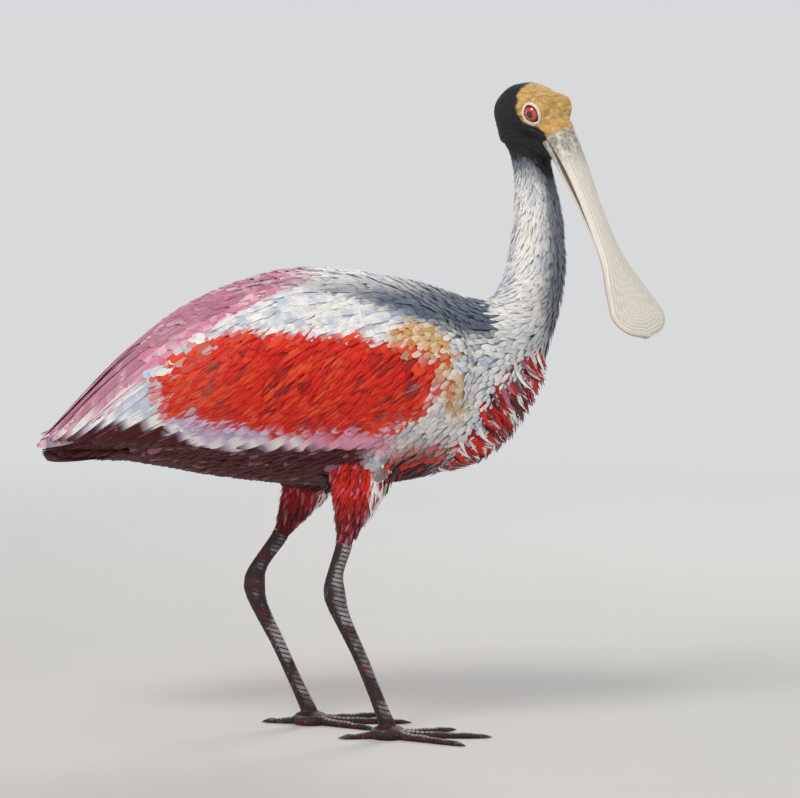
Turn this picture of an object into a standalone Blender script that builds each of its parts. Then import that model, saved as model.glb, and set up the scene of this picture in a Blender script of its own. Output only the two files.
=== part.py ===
"""Roseate spoonbill, life size: the adult bird standing, bill held down and head turned to its right.

Metres, +Z up. The bird faces +X and its left side is +Y. The soles rest on Z = 0, and the middle of the
model's own box stands over the origin. Each named part of the body is one closed solid, and every solid
reaches to the tips of the plumage that it wears.
"""

import math
from collections import namedtuple

import bmesh
import bpy
from mathutils import Matrix, Vector

# ---------------------------------------------------------------- driving dimensions

GAP = 0.0003  # clearance between pieces that meet
PLUMAGE_GAP = 0.0010  # clearance under a wing or the breast plume, more than their facets stray

HEAD_TURN = math.radians(42)  # turn of the head to the bird's right
HEAD_LEAN = math.radians(8)  # lean of the crown to the same side, about the bill's own line
SKULL_JOINT = (0.160, 0.0, 0.472)  # the point that the head turns about
TURN_STARTS, TURN_ENDS = 10.8, 13.6  # stations of the neck between which it twists

BILL_LENGTH = 0.180
SPOON_HALF_WIDTH = 0.0285
SPOON_CENTRE = 0.88  # share of the bill's length at the widest part of the spoon
BILL_GAPE = 0.0044  # widest opening between the two halves of the bill

EYE_RADIUS = 0.0078
EYE_STATION = 16.6
EYE_OFFSET = 0.0142  # from the middle of the head to the centre of the eyeball
EYE_RISE = 0.0062  # above the middle of the head's section there

TAIL_STATION = 1.6  # where the trunk ends and the tail begins
TAIL_END_X = -0.229
NECK_ROOT_STATION = 8.4
MID_NECK_STATION = 10.8
HEAD_STATION = 13.2
WIDEST_ABOVE_MIDDLE = 0.08  # how far each section is egg-shaped, broad side up

# How finely the round pieces are faceted.
TRUNK_SIDES, NECK_SIDES, TAIL_SIDES = 24, 20, 16
THIGH_SIDES, SHIN_SIDES, TOE_SIDES, CLAW_SIDES = 16, 12, 8, 6
BALL_SEGMENTS, BALL_RINGS = 14, 8

# ---------------------------------------------------------------- the body's outline

# The body is a row of egg-shaped sections from the wing tips to the bill. Each is set by the point of the
# back and the point of the belly that it joins, as (X, Z), and by half its width.
Station = namedtuple("Station", "place dorsal ventral half_width")
BODY = (
    Station("wing tips", (-0.235, 0.229), (-0.232, 0.221), 0.0120),
    Station("tail", (-0.200, 0.262), (-0.198, 0.219), 0.0300),
    Station("rump", (-0.150, 0.312), (-0.148, 0.212), 0.0490),
    Station("loin", (-0.100, 0.345), (-0.098, 0.203), 0.0610),
    Station("back", (-0.040, 0.365), (-0.040, 0.196), 0.0690),
    Station("mid back", (0.020, 0.369), (0.022, 0.194), 0.0710),
    Station("shoulder", (0.070, 0.361), (0.080, 0.202), 0.0670),
    Station("breast", (0.105, 0.349), (0.130, 0.224), 0.0580),
    Station("crop", (0.124, 0.346), (0.157, 0.262), 0.0450),
    Station("neck root", (0.134, 0.360), (0.177, 0.310), 0.0320),
    Station("low neck", (0.139, 0.385), (0.188, 0.358), 0.0255),
    Station("mid neck", (0.143, 0.415), (0.187, 0.401), 0.0210),
    Station("high neck", (0.142, 0.447), (0.180, 0.436), 0.0182),
    Station("nape", (0.129, 0.479), (0.174, 0.459), 0.0188),
    Station("occiput", (0.1270, 0.5000), (0.170, 0.468), 0.0212),
    Station("crown", (0.1460, 0.5140), (0.169, 0.470), 0.0226),
    Station("brow", (0.1700, 0.5125), (0.170, 0.469), 0.0220),
    Station("forehead", (0.1868, 0.4980), (0.172, 0.467), 0.0188),
    Station("bill base", (0.1968, 0.4825), (0.1755, 0.4660), 0.0138),
)
BILL_STATION = len(BODY) - 1

# Under the folded wings the rump falls away: (station, share of the full height that is left).
RUMP_HEIGHT = ((TAIL_STATION, 0.80), (2.3, 0.92), (3.2, 1.0))

# A folded wing wraps the trunk from its tip to the wrist: (station, degrees from the spine at its upper
# edge, the same at its lower edge, thickness in the middle).
WING = (
    (0.00, 10.0, 114.0, 0.0022),
    (1.00, 4.0, 122.0, 0.0045),
    (2.00, 2.5, 126.0, 0.0080),
    (3.00, 2.5, 129.0, 0.0105),
    (4.00, 6.0, 130.0, 0.0115),
    (5.00, 16.0, 126.0, 0.0115),
    (6.00, 32.0, 114.0, 0.0100),
    (6.60, 46.0, 102.0, 0.0075),
    (6.85, 60.0, 88.0, 0.0045),
)
EDGE_THICKNESS = 0.25  # thickness of a wing or the plume at its edges, as a share of that in its middle

# The folded tail: (share of its length, height of its middle, half its thickness, half its width).
TAIL = (
    (0.0, 0.2335, 0.0165, 0.026),
    (0.3, 0.2270, 0.0085, 0.026),
    (0.6, 0.2212, 0.0030, 0.025),
    (0.9, 0.2193, 0.0014, 0.021),
    (1.0, 0.2190, 0.0012, 0.013),
)

# The plume of curled feathers on the breast: (station, degrees each side of the keel, thickness).
PLUME = ((6.4, 24.0, 0.003), (7.0, 44.0, 0.011), (7.6, 54.0, 0.015), (8.3, 44.0, 0.008))

# ---------------------------------------------------------------- the bill, by share of its length

BILL_DROOP = ((0.0, 53.6), (0.12, 60.0), (0.40, 62.5), (0.75, 60.0), (1.0, 57.0))  # degrees below level
BILL_HALF_WIDTH = (
    (0.0, 0.0138),
    (0.10, 0.0126),
    (0.30, 0.0104),
    (0.50, 0.0102),
    (0.62, 0.0124),
    (0.75, 0.0208),
    (SPOON_CENTRE, SPOON_HALF_WIDTH),
)
BILL_UPPER_DEPTH = (
    (0.0, 0.0130),
    (0.15, 0.0098),
    (0.40, 0.0068),
    (0.70, 0.0048),
    (0.90, 0.0038),
    (1.0, 0.0028),
)
BILL_LOWER_DEPTH = (
    (0.0, 0.0127),
    (0.15, 0.0090),
    (0.40, 0.0060),
    (0.70, 0.0042),
    (0.90, 0.0033),
    (1.0, 0.0024),
)
BILL_OPENING = ((0.0, 0.0), (0.04, 0.10), (0.18, 1.0), (0.34, 0.55), (0.52, 0.0))  # share of the gape
LOWER_BILL_WIDTH = 0.93  # the lower half's width as a share of the upper half's

# ---------------------------------------------------------------- legs and feet

# Each leg's line runs from inside the trunk over the heel to the foot, through these points as (X, Z).
LEG_SPREAD = 0.034  # from the bird's middle to each leg
Leg = namedtuple("Leg", "side hip knee thigh_end heel tarsus foot")
LEGS = {
    "right": Leg(
        side=-1,
        hip=(0.030, 0.235),
        knee=(0.022, 0.195),
        thigh_end=(0.012, 0.155),
        heel=(0.004, 0.114),
        tarsus=(0.026, 0.060),
        foot=(0.046, 0.009),
    ),
    "left": Leg(
        side=1,
        hip=(0.000, 0.235),
        knee=(-0.018, 0.197),
        thigh_end=(-0.040, 0.155),
        heel=(-0.062, 0.114),
        tarsus=(-0.040, 0.060),
        foot=(-0.017, 0.009),
    ),
}
# Radii by place along that line, from 0 at the hip to 5 at the foot: (place, fore and aft, sideways).
THIGH_RADII = ((0.0, 0.0280, 0.0170), (1.0, 0.0240, 0.0165), (1.6, 0.0150, 0.0125), (2.0, 0.0092, 0.0085))
SHIN_RADII = (
    (2.0, 0.0068, 0.0060),
    (2.6, 0.0064, 0.0056),
    (3.0, 0.0090, 0.0080),
    (3.35, 0.0068, 0.0060),
    (3.8, 0.0058, 0.0050),
    (4.5, 0.0056, 0.0050),
    (5.0, 0.0066, 0.0062),
)
THIGH_END, HEEL_END, FOOT_PLACE = 2.0, 3.35, 5.0

HUB_RADII = (0.0150, 0.0140, 0.0072)  # the ball of the foot, along X, Y and Z
HUB_CENTRE_Z = 0.0041
Toe = namedtuple("Toe", "name heading length")
TOES = (  # headings in degrees from straight ahead, positive outwards
    Toe("inner", -33.0, 0.056),
    Toe("middle", 0.0, 0.073),
    Toe("outer", 33.0, 0.063),
    Toe("hind", 172.0, 0.031),
)
TOE_ROOT = 0.008  # where a toe begins, from the middle of the foot
TOE_ROOT_RADIUS, TOE_TIP_RADIUS = 0.0040, 0.0024
TOE_JOINT_SPACING, TOE_PAD_SWELL = 0.0165, 0.00025
TOE_SINK = 0.8  # height of a toe's middle as a share of its radius, so that its sole is a narrow flat
CLAW_LENGTH, CLAW_TIP_RADIUS, CLAW_TIP_HEIGHT = 0.0090, 0.0003, 0.0008
WEB_FROM, WEB_TO, WEB_NOTCH = 0.0168, 0.0340, 0.0265  # distances of the web from the middle of the foot
WEB_BOTTOM, WEB_TOP = 0.0006, 0.0020

COLOURS = {  # name: (red, green, blue, roughness)
    "white_plumage": (0.86, 0.84, 0.82, 0.85),
    "neck_plumage": (0.80, 0.83, 0.86, 0.85),
    "scarlet_plumage": (0.72, 0.07, 0.04, 0.80),
    "pink_plumage": (0.80, 0.42, 0.52, 0.82),
    "red_plumage": (0.60, 0.07, 0.07, 0.82),
    "bare_head": (0.55, 0.40, 0.17, 0.62),
    "bill_horn": (0.78, 0.76, 0.70, 0.40),
    "red_eye": (0.70, 0.03, 0.02, 0.08),
    "leg_skin": (0.09, 0.05, 0.05, 0.55),
    "claw_horn": (0.04, 0.035, 0.03, 0.35),
}

# ---------------------------------------------------------------- curves and meshes


def profile(knots, at):
    """The smooth curve through (position, value) knots, level beyond its ends. Values add and scale."""
    places = [knot[0] for knot in knots]
    values = [knot[1] for knot in knots]
    if at <= places[0]:
        return values[0]
    if at >= places[-1]:
        return values[-1]
    i = max(n for n, place in enumerate(places[:-1]) if place <= at)

    def slope(n):
        low, high = max(n - 1, 0), min(n + 1, len(places) - 1)
        return (values[high] - values[low]) * (1 / (places[high] - places[low]))

    span = places[i + 1] - places[i]
    s = (at - places[i]) / span
    rise = s * s * (3 - 2 * s)
    leave = s * (1 - s) * (1 - s) * span
    arrive = s * s * (s - 1) * span
    return values[i] * (1 - rise) + values[i + 1] * rise + slope(i) * leave + slope(i + 1) * arrive


def spread(first, last, count):
    """count numbers from first to last, both included."""
    return [first + (last - first) * n / (count - 1) for n in range(count)]


def column(table, index):
    """Knots for profile() from a table whose rows start with a position."""
    return [(row[0], row[index]) for row in table]


def material(name):
    """The named finish, made once."""
    found = bpy.data.materials.get(name)
    if found:
        return found
    red, green, blue, roughness = COLOURS[name]
    made = bpy.data.materials.new(name)
    made.use_nodes = True
    shader = made.node_tree.nodes["Principled BSDF"]
    shader.inputs["Base Color"].default_value = (red, green, blue, 1.0)
    shader.inputs["Roughness"].default_value = roughness
    made.diffuse_color = (red, green, blue, 1.0)
    return made


def add_object(name, work, finish):
    """Turns a bmesh into a smooth-shaded object of the scene, with its faces out."""
    bmesh.ops.recalc_face_normals(work, faces=work.faces)
    mesh = bpy.data.meshes.new(name)
    work.to_mesh(mesh)
    work.free()
    mesh.shade_smooth()
    mesh.set_sharp_from_angle(angle=math.radians(40))
    mesh.materials.append(material(finish))
    made = bpy.data.objects.new(name, mesh)
    bpy.context.scene.collection.objects.link(made)
    return made


def side_faces(work, rows):
    """Joins closed rows of vertices with quads."""
    count = len(rows[0])
    for row, next_row in zip(rows, rows[1:]):
        for n in range(count):
            m = (n + 1) % count
            work.faces.new((row[n], row[m], next_row[m], next_row[n]))


def tube(name, rings, finish):
    """A closed solid through rings of points, with a flat cap at each end."""
    work = bmesh.new()
    rows = [[work.verts.new(point) for point in ring] for ring in rings]
    side_faces(work, rows)
    work.faces.new(rows[0])
    work.faces.new(rows[-1])
    return add_object(name, work, finish)


def slab(name, sheets, finish):
    """A closed thin solid. sheets is a row of (outer points, inner points), one pair for each station."""
    work = bmesh.new()
    rows = []
    for outer, inner in sheets:
        rows.append([work.verts.new(point) for point in [*outer, *reversed(inner)]])
    side_faces(work, rows)
    half = len(sheets[0][0])
    for row in (rows[0], rows[-1]):
        for n in range(half - 1):
            work.faces.new((row[n], row[n + 1], row[-2 - n], row[-1 - n]))
    return add_object(name, work, finish)


def hide_as_cutter(cutter):
    cutter.hide_render = True
    cutter.display_type = "WIRE"
    return cutter


def cut(target, cutter):
    """Takes the cutter's shape out of the target."""
    change = target.modifiers.new("Cut by " + cutter.name, "BOOLEAN")
    change.operation = "DIFFERENCE"
    change.solver = "EXACT"
    change.object = cutter


def ball(name, centre, radii, finish):
    work = bmesh.new()
    bmesh.ops.create_uvsphere(work, u_segments=BALL_SEGMENTS, v_segments=BALL_RINGS, radius=1.0)
    bmesh.ops.scale(work, vec=Vector(radii), verts=work.verts)
    bmesh.ops.translate(work, vec=centre, verts=work.verts)
    return add_object(name, work, finish)


# ---------------------------------------------------------------- the body's sections

DORSAL_LINE = [(n, Vector((s.dorsal[0], 0.0, s.dorsal[1]))) for n, s in enumerate(BODY)]
VENTRAL_LINE = [(n, Vector((s.ventral[0], 0.0, s.ventral[1]))) for n, s in enumerate(BODY)]
WIDTH_LINE = [(n, s.half_width) for n, s in enumerate(BODY)]
Section = namedtuple("Section", "centre up side half_height half_width")


def head_turn(station):
    """The turn and lean about the skull's joint at a station, as a matrix. The trunk has none."""
    share = min(max((station - TURN_STARTS) / (TURN_ENDS - TURN_STARTS), 0.0), 1.0)
    share = share * share * (3 - 2 * share)
    joint = Vector(SKULL_JOINT)
    droop = math.radians(BILL_DROOP[0][1])
    bill_line = Vector((math.cos(droop), 0.0, -math.sin(droop)))
    turn = Matrix.Rotation(-HEAD_TURN * share, 4, "Z") @ Matrix.Rotation(HEAD_LEAN * share, 4, bill_line)
    return Matrix.Translation(joint) @ turn @ Matrix.Translation(-joint)


def section(station, height_share=1.0):
    """The body's section at a station, with its upper side lowered to a share of its height."""
    ventral = profile(VENTRAL_LINE, station)
    dorsal = ventral.lerp(profile(DORSAL_LINE, station), height_share)
    turn = head_turn(station)
    up = (turn.to_3x3() @ (dorsal - ventral)).normalized()
    side = turn.to_3x3() @ Vector((0.0, 1.0, 0.0))
    half_width = profile(WIDTH_LINE, station) * math.sqrt(height_share)
    return Section(turn @ ((dorsal + ventral) / 2), up, side, (dorsal - ventral).length / 2, half_width)


def skin_point(cross, angle, proud=0.0):
    """A point of a section at an angle from the spine to the left side, lifted proud along its normal."""
    c, s = math.cos(angle), math.sin(angle)
    swell = 1 + WIDEST_ABOVE_MIDDLE * c
    point = cross.centre + cross.up * (cross.half_height * c) + cross.side * (cross.half_width * s * swell)
    slope = c * swell - WIDEST_ABOVE_MIDDLE * s * s
    normal = cross.up * (cross.half_width * slope) + cross.side * (cross.half_height * s)
    return point + normal.normalized() * proud


def ring(cross, count, proud=0.0):
    return [skin_point(cross, 2 * math.pi * n / count, proud) for n in range(count)]


def body_rings(first, last, stations, count, proud=0.0, rump=False):
    """Rings of the body between two stations. With rump, they follow the rump down under the wings."""
    rings = []
    for station in spread(first, last, stations):
        share = profile(RUMP_HEIGHT, station) if rump else 1.0
        rings.append(ring(section(station, share), count, proud))
    return rings


def part_from(rings):
    """Draws the first ring back by the clearance, towards the second."""
    middle = sum(rings[0], Vector()) / len(rings[0])
    ahead = sum(rings[1], Vector()) / len(rings[1])
    step = (ahead - middle).normalized() * GAP
    return [[point + step for point in rings[0]], *rings[1:]]


# ---------------------------------------------------------------- trunk, neck, head and tail


def make_trunk():
    """The trunk, and a hidden copy of it that is a clearance larger, which cuts the thighs."""
    rings = body_rings(TAIL_STATION, NECK_ROOT_STATION, 18, TRUNK_SIDES, rump=True)
    tube("trunk", rings, "white_plumage")
    larger = body_rings(TAIL_STATION, NECK_ROOT_STATION, 18, TRUNK_SIDES, proud=GAP, rump=True)
    return hide_as_cutter(tube("trunk_cutter", larger, "white_plumage"))


def make_neck():
    for name, first, last, stations in (
        ("neck_lower", NECK_ROOT_STATION, MID_NECK_STATION, 8),
        ("neck_upper", MID_NECK_STATION, HEAD_STATION, 8),
    ):
        tube(name, part_from(body_rings(first, last, stations, NECK_SIDES)), "neck_plumage")


def eye_centre(side):
    cross = section(EYE_STATION)
    return cross.centre + cross.up * EYE_RISE + cross.side * (EYE_OFFSET * side)


def make_head():
    head = tube("head", part_from(body_rings(HEAD_STATION, BILL_STATION, 17, NECK_SIDES)), "bare_head")
    for name, side in (("left", 1), ("right", -1)):
        centre = eye_centre(side)
        ball("eye_" + name, centre, [EYE_RADIUS] * 3, "red_eye")
        socket = ball("socket_cutter_" + name, centre, [EYE_RADIUS + GAP] * 3, "bare_head")
        cut(head, hide_as_cutter(socket))


def make_tail():
    """A folded tail: a thin blade behind the trunk, under the wing tips."""
    root = section(TAIL_STATION, profile(RUMP_HEIGHT, TAIL_STATION))
    root_x = min(point.x for point in ring(root, TRUNK_SIDES)) - GAP
    up, side = Vector((0.0, 0.0, 1.0)), Vector((0.0, 1.0, 0.0))
    rings = []
    for share in spread(0.0, 1.0, 9):
        centre = Vector((root_x + (TAIL_END_X - root_x) * share, 0.0, profile(column(TAIL, 1), share)))
        blade = Section(centre, up, side, profile(column(TAIL, 2), share), profile(column(TAIL, 3), share))
        rings.append(ring(blade, TAIL_SIDES))
    tube("tail", rings, "pink_plumage")


# ---------------------------------------------------------------- wings and breast plume


def wrapped_sheet(station, first, last, thickness, steps):
    """The outer and inner points of a piece that lies on the body between two angles, at a station."""
    cross = section(station)
    outer, inner = [], []
    for share in spread(0.0, 1.0, steps):
        angle = math.radians(first + (last - first) * share)
        bulge = max(math.sin(math.pi * share), 0.0) ** 0.7
        proud = thickness * (EDGE_THICKNESS + (1 - EDGE_THICKNESS) * bulge)
        inner.append(skin_point(cross, angle, PLUMAGE_GAP))
        outer.append(skin_point(cross, angle, PLUMAGE_GAP + proud))
    return outer, inner


def make_wings():
    stations = [0.0, *spread(0.4, 6.0, 13), 6.3, 6.6, WING[-1][0]]
    for name, side in (("left", 1), ("right", -1)):
        sheets = []
        for station in stations:
            upper, lower, thickness = (profile(column(WING, n), station) for n in (1, 2, 3))
            sheets.append(wrapped_sheet(station, upper * side, lower * side, thickness, 13))
        slab("wing_" + name, sheets, "scarlet_plumage")


def make_breast_plume():
    sheets = []
    for station in spread(PLUME[0][0], PLUME[-1][0], 8):
        half, thickness = (profile(column(PLUME, n), station) for n in (1, 2))
        sheets.append(wrapped_sheet(station, 180 - half, 180 + half, thickness, 11))
    slab("breast_plume", sheets, "red_plumage")


# ---------------------------------------------------------------- bill


def bill_axis(count):
    """(share, point, up) along the bill before the head's turn, closer together towards its tip."""
    base = (profile(DORSAL_LINE, BILL_STATION) + profile(VENTRAL_LINE, BILL_STATION)) / 2
    shares = [math.sin(math.pi / 2 * n / (count - 1)) for n in range(count)]
    droop = math.radians(BILL_DROOP[0][1])
    point = base + Vector((math.cos(droop), 0.0, -math.sin(droop))) * GAP
    found = [(0.0, point, Vector((math.sin(droop), 0.0, math.cos(droop))))]
    for before, share in zip(shares, shares[1:]):
        droop = math.radians(profile(BILL_DROOP, (before + share) / 2))
        point = point + Vector((math.cos(droop), 0.0, -math.sin(droop))) * (BILL_LENGTH * (share - before))
        droop = math.radians(profile(BILL_DROOP, share))
        found.append((share, point, Vector((math.sin(droop), 0.0, math.cos(droop)))))
    return found


def bill_half_width(share):
    """Half the bill's width, with the spoon's end rounded as half an ellipse."""
    if share <= SPOON_CENTRE:
        return profile(BILL_HALF_WIDTH, share)
    beyond = (share - SPOON_CENTRE) / (1 - SPOON_CENTRE)
    return SPOON_HALF_WIDTH * max(math.sqrt(1 - beyond * beyond), 0.16)


def make_bill():
    """The two halves of the bill: each is arched outside, and hollowed inside where the bill stands open."""
    turn = head_turn(BILL_STATION)
    side = turn.to_3x3() @ Vector((0.0, 1.0, 0.0))
    arch = [math.pi * n / 8 for n in range(9)]
    for name, sign, depth_line, slim in (
        ("bill_upper", 1, BILL_UPPER_DEPTH, 1.0),
        ("bill_lower", -1, BILL_LOWER_DEPTH, LOWER_BILL_WIDTH),
    ):
        rings = []
        for share, point, up in bill_axis(26):
            centre, rise = turn @ point, (turn.to_3x3() @ up) * sign
            half_width = bill_half_width(share) * slim
            floor = GAP / 2 + BILL_GAPE / 2 * profile(BILL_OPENING, share)
            depth = profile(depth_line, share)
            points = []
            for angle in arch:
                height = floor + (depth - floor) * math.sin(angle) ** 0.75 if 0 < angle < math.pi else floor
                points.append(centre + side * (half_width * math.cos(angle)) + rise * height)
            for across in (-0.5, 0.0, 0.5):
                points.append(centre + side * (half_width * across) + rise * floor)
            rings.append(points)
        tube(name, rings, "bill_horn")


# ---------------------------------------------------------------- legs


def leg_line(leg):
    return [(n, Vector((x, LEG_SPREAD * leg.side, z))) for n, (x, z) in enumerate(leg[1:])]


def limb_rings(line, radii, first, last, stations, count):
    """Rings square to a limb's line, wider fore and aft than sideways."""
    rings = []
    for place in spread(first, last, stations):
        along = (profile(line, place + 0.01) - profile(line, place - 0.01)).normalized()
        sideways = Vector((0.0, 1.0, 0.0))
        forward = sideways.cross(along).normalized()
        fore, across = profile(column(radii, 1), place), profile(column(radii, 2), place)
        centre = profile(line, place)
        angles = [2 * math.pi * n / count for n in range(count)]
        rings.append(
            [centre + forward * (fore * math.cos(a)) + sideways * (across * math.sin(a)) for a in angles]
        )
    return rings


def make_leg(name, leg, trunk_cutter):
    line = leg_line(leg)
    thigh_rings = limb_rings(line, THIGH_RADII, 0.0, THIGH_END, 9, THIGH_SIDES)
    thigh = tube("thigh_" + name, thigh_rings, "red_plumage")
    cut(thigh, trunk_cutter)
    shank_rings = part_from(limb_rings(line, SHIN_RADII, THIGH_END, HEEL_END, 10, SHIN_SIDES))
    tube("shank_" + name, shank_rings, "leg_skin")
    tarsus_rings = part_from(limb_rings(line, SHIN_RADII, HEEL_END, FOOT_PLACE, 8, SHIN_SIDES))
    tarsus = tube("tarsus_" + name, tarsus_rings, "leg_skin")
    middle = line[-1][1].copy()
    middle.z = HUB_CENTRE_Z
    hub_cutter = hide_as_cutter(ball_of_foot("foot_cutter_" + name, middle, GAP))
    cut(tarsus, hub_cutter)
    ball_of_foot("foot_" + name, middle, proud=0.0)
    for toe in TOES:
        make_toe(name, leg.side, toe, middle, hub_cutter)
        make_claw(name, leg.side, toe, middle)
    make_web(name, leg.side, "inner", TOES[0], TOES[1], middle)
    make_web(name, leg.side, "outer", TOES[1], TOES[2], middle)


def ball_of_foot(name, middle, proud):
    """The pad under the tarsus, flat where it stands on the ground."""
    made = ball(name, middle, [radius + proud for radius in HUB_RADII], "leg_skin")
    for vertex in made.data.vertices:
        vertex.co.z = max(vertex.co.z, -proud)
    return made


def toe_heading(side, toe):
    """The direction of a toe over the ground, outwards being towards the bird's own side."""
    angle = math.radians(toe.heading) * side
    return Vector((math.cos(angle), math.sin(angle), 0.0))


def toe_radius(toe, distance):
    """A toe narrows to its tip and swells a little at the pads between its joints."""
    share = distance / toe.length
    pads = TOE_PAD_SWELL * math.cos(distance / TOE_JOINT_SPACING * 2 * math.pi)
    return TOE_ROOT_RADIUS + (TOE_TIP_RADIUS - TOE_ROOT_RADIUS) * share + pads


def make_toe(leg_name, side, toe, middle, hub_cutter):
    ahead = toe_heading(side, toe)
    across = Vector((-ahead.y, ahead.x, 0.0))
    ground = Vector((middle.x, middle.y, 0.0))
    rings = []
    for distance in spread(TOE_ROOT, toe.length, 5 if toe.name == "hind" else 8):
        radius = toe_radius(toe, distance)
        points = []
        for n in range(TOE_SIDES):
            angle = 2 * math.pi * (n + 0.5) / TOE_SIDES
            height = max(radius * (TOE_SINK + math.sin(angle)), 0.0)
            sideways = across * (radius * math.cos(angle))
            points.append(ground + ahead * distance + sideways + Vector((0, 0, height)))
        rings.append(points)
    cut(tube(f"toe_{leg_name}_{toe.name}", rings, "leg_skin"), hub_cutter)


def make_claw(leg_name, side, toe, middle):
    """A claw that tapers and curves down to the ground, narrower than high."""
    ahead = toe_heading(side, toe)
    across = Vector((-ahead.y, ahead.x, 0.0))
    root = Vector((middle.x, middle.y, 0.0)) + ahead * (toe.length + GAP)
    root_radius = toe_radius(toe, toe.length)
    rings = []
    for share in spread(0.0, 1.0, 5):
        radius = CLAW_TIP_RADIUS + root_radius * 0.92 * (1 - share) ** 0.8
        height = root_radius * TOE_SINK * (1 - share * share) + CLAW_TIP_HEIGHT * share * share
        centre = root + ahead * (CLAW_LENGTH * share) + Vector((0, 0, height))
        points = []
        for n in range(CLAW_SIDES):
            angle = 2 * math.pi * n / CLAW_SIDES
            point = centre + across * (radius * math.cos(angle) * 0.8)
            point.z = max(point.z + radius * math.sin(angle), 0.0)
            points.append(point)
        rings.append(points)
    tube(f"claw_{leg_name}_{toe.name}", rings, "claw_horn")


def make_web(leg_name, side, name, first, second, middle):
    """The small web between two front toes: a thin plate with a hollow edge."""
    ground = Vector((middle.x, middle.y, 0.0))
    headings = [toe_heading(side, toe) for toe in (first, second)]
    inwards = (headings[1] - headings[0]).normalized()
    clear = TOE_ROOT_RADIUS + GAP
    outline = []
    for ahead, sign in zip(headings, (1, -1)):
        beside = Vector((-ahead.y, ahead.x, 0.0))
        beside *= math.copysign(clear, beside.dot(inwards) * sign)
        outline.append([ground + ahead * WEB_FROM + beside, ground + ahead * WEB_TO + beside])
    between = (headings[0] + headings[1]).normalized()
    notch = ground + between * WEB_NOTCH
    (near_a, far_a), (near_b, far_b) = outline
    edge = [far_a.lerp(notch, 0.6), notch, far_b.lerp(notch, 0.6)]
    corners = [near_a, far_a, *edge, far_b, near_b]
    rings = [[corner + Vector((0, 0, height)) for corner in corners] for height in (WEB_BOTTOM, WEB_TOP)]
    tube(f"web_{leg_name}_{name}", rings, "leg_skin")


# ---------------------------------------------------------------- assembly


def stand_on_origin():
    """Hangs every piece on one empty, which brings the middle of the model's box over the origin."""
    bpy.context.view_layer.update()
    graph = bpy.context.evaluated_depsgraph_get()
    pieces = [piece for piece in bpy.context.scene.objects if not piece.hide_render]
    corners = [Vector(corner) for piece in pieces for corner in piece.evaluated_get(graph).bound_box]
    low = Vector((min(c.x for c in corners), min(c.y for c in corners), 0.0))
    high = Vector((max(c.x for c in corners), max(c.y for c in corners), 0.0))
    ground = bpy.data.objects.new("spoonbill", None)
    bpy.context.scene.collection.objects.link(ground)
    for piece in list(bpy.context.scene.objects):
        if piece is not ground:
            piece.parent = ground
    ground.location = -(low + high) / 2


def main():
    for old in list(bpy.data.objects):
        bpy.data.objects.remove(old)
    trunk_cutter = make_trunk()
    make_neck()
    make_head()
    make_tail()
    make_wings()
    make_breast_plume()
    make_bill()
    for name, leg in LEGS.items():
        make_leg(name, leg, trunk_cutter)
    stand_on_origin()


main()
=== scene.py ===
"""A roseate spoonbill, still and life-size: skin, feathers, bill, eyes and claws."""
import math
from functools import lru_cache, partialmethod

import bmesh
import bpy
import numpy as np
from bpy.props import FloatProperty, FloatVectorProperty, IntProperty, PointerProperty
from bpy.types import Operator, Panel, PropertyGroup
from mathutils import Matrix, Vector, noise
from mathutils.bvhtree import BVHTree
from mathutils.kdtree import KDTree


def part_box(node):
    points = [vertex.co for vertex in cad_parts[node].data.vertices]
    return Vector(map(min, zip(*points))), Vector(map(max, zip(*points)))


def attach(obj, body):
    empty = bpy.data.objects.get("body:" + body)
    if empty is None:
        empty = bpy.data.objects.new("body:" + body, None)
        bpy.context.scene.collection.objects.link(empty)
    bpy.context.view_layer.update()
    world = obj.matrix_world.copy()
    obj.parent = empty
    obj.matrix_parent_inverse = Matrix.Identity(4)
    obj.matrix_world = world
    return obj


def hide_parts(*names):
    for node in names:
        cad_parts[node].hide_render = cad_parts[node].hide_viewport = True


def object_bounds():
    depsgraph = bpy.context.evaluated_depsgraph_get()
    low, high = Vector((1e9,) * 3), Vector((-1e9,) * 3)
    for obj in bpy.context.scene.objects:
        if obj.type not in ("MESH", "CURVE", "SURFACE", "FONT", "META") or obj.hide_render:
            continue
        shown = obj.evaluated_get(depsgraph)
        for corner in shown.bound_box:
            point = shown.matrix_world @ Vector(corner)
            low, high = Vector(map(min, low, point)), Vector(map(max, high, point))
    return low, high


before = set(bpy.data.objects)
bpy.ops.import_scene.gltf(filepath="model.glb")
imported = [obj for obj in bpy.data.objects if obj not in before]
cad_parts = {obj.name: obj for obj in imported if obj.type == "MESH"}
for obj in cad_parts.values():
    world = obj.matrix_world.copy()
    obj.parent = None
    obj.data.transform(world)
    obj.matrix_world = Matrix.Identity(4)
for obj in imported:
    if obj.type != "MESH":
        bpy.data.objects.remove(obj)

bl_info = {
    "name": "Roseate spoonbill",
    "version": (1, 0, 0),
    "blender": (4, 5, 0),
    "location": "3D View > Sidebar > Spoonbill",
    "description": "Dresses a life-size spoonbill in skin, feathers, horn and studio light",
    "category": "Object",
}

MM = 0.001
UP = np.array([0.0, 0.0, 1.0])
BODY = "root"
SIDES = {"left": 1.0, "right": -1.0}
HALVES = {"upper": 1.0, "lower": -1.0}  # of the bill
BODY_NODES = (
    "trunk", "neck_lower", "neck_upper", "thigh_left", "thigh_right",
    "shank_left", "shank_right", "wing_left", "wing_right", "tail",
)
TOES = ("inner", "middle", "outer", "hind")
WEBS = ("inner", "outer")


# ---- arithmetic on points


def unit(vectors):
    """Vectors of length one along the given ones."""
    return vectors / np.maximum(np.linalg.norm(vectors, axis=-1, keepdims=True), 1e-12)


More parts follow.
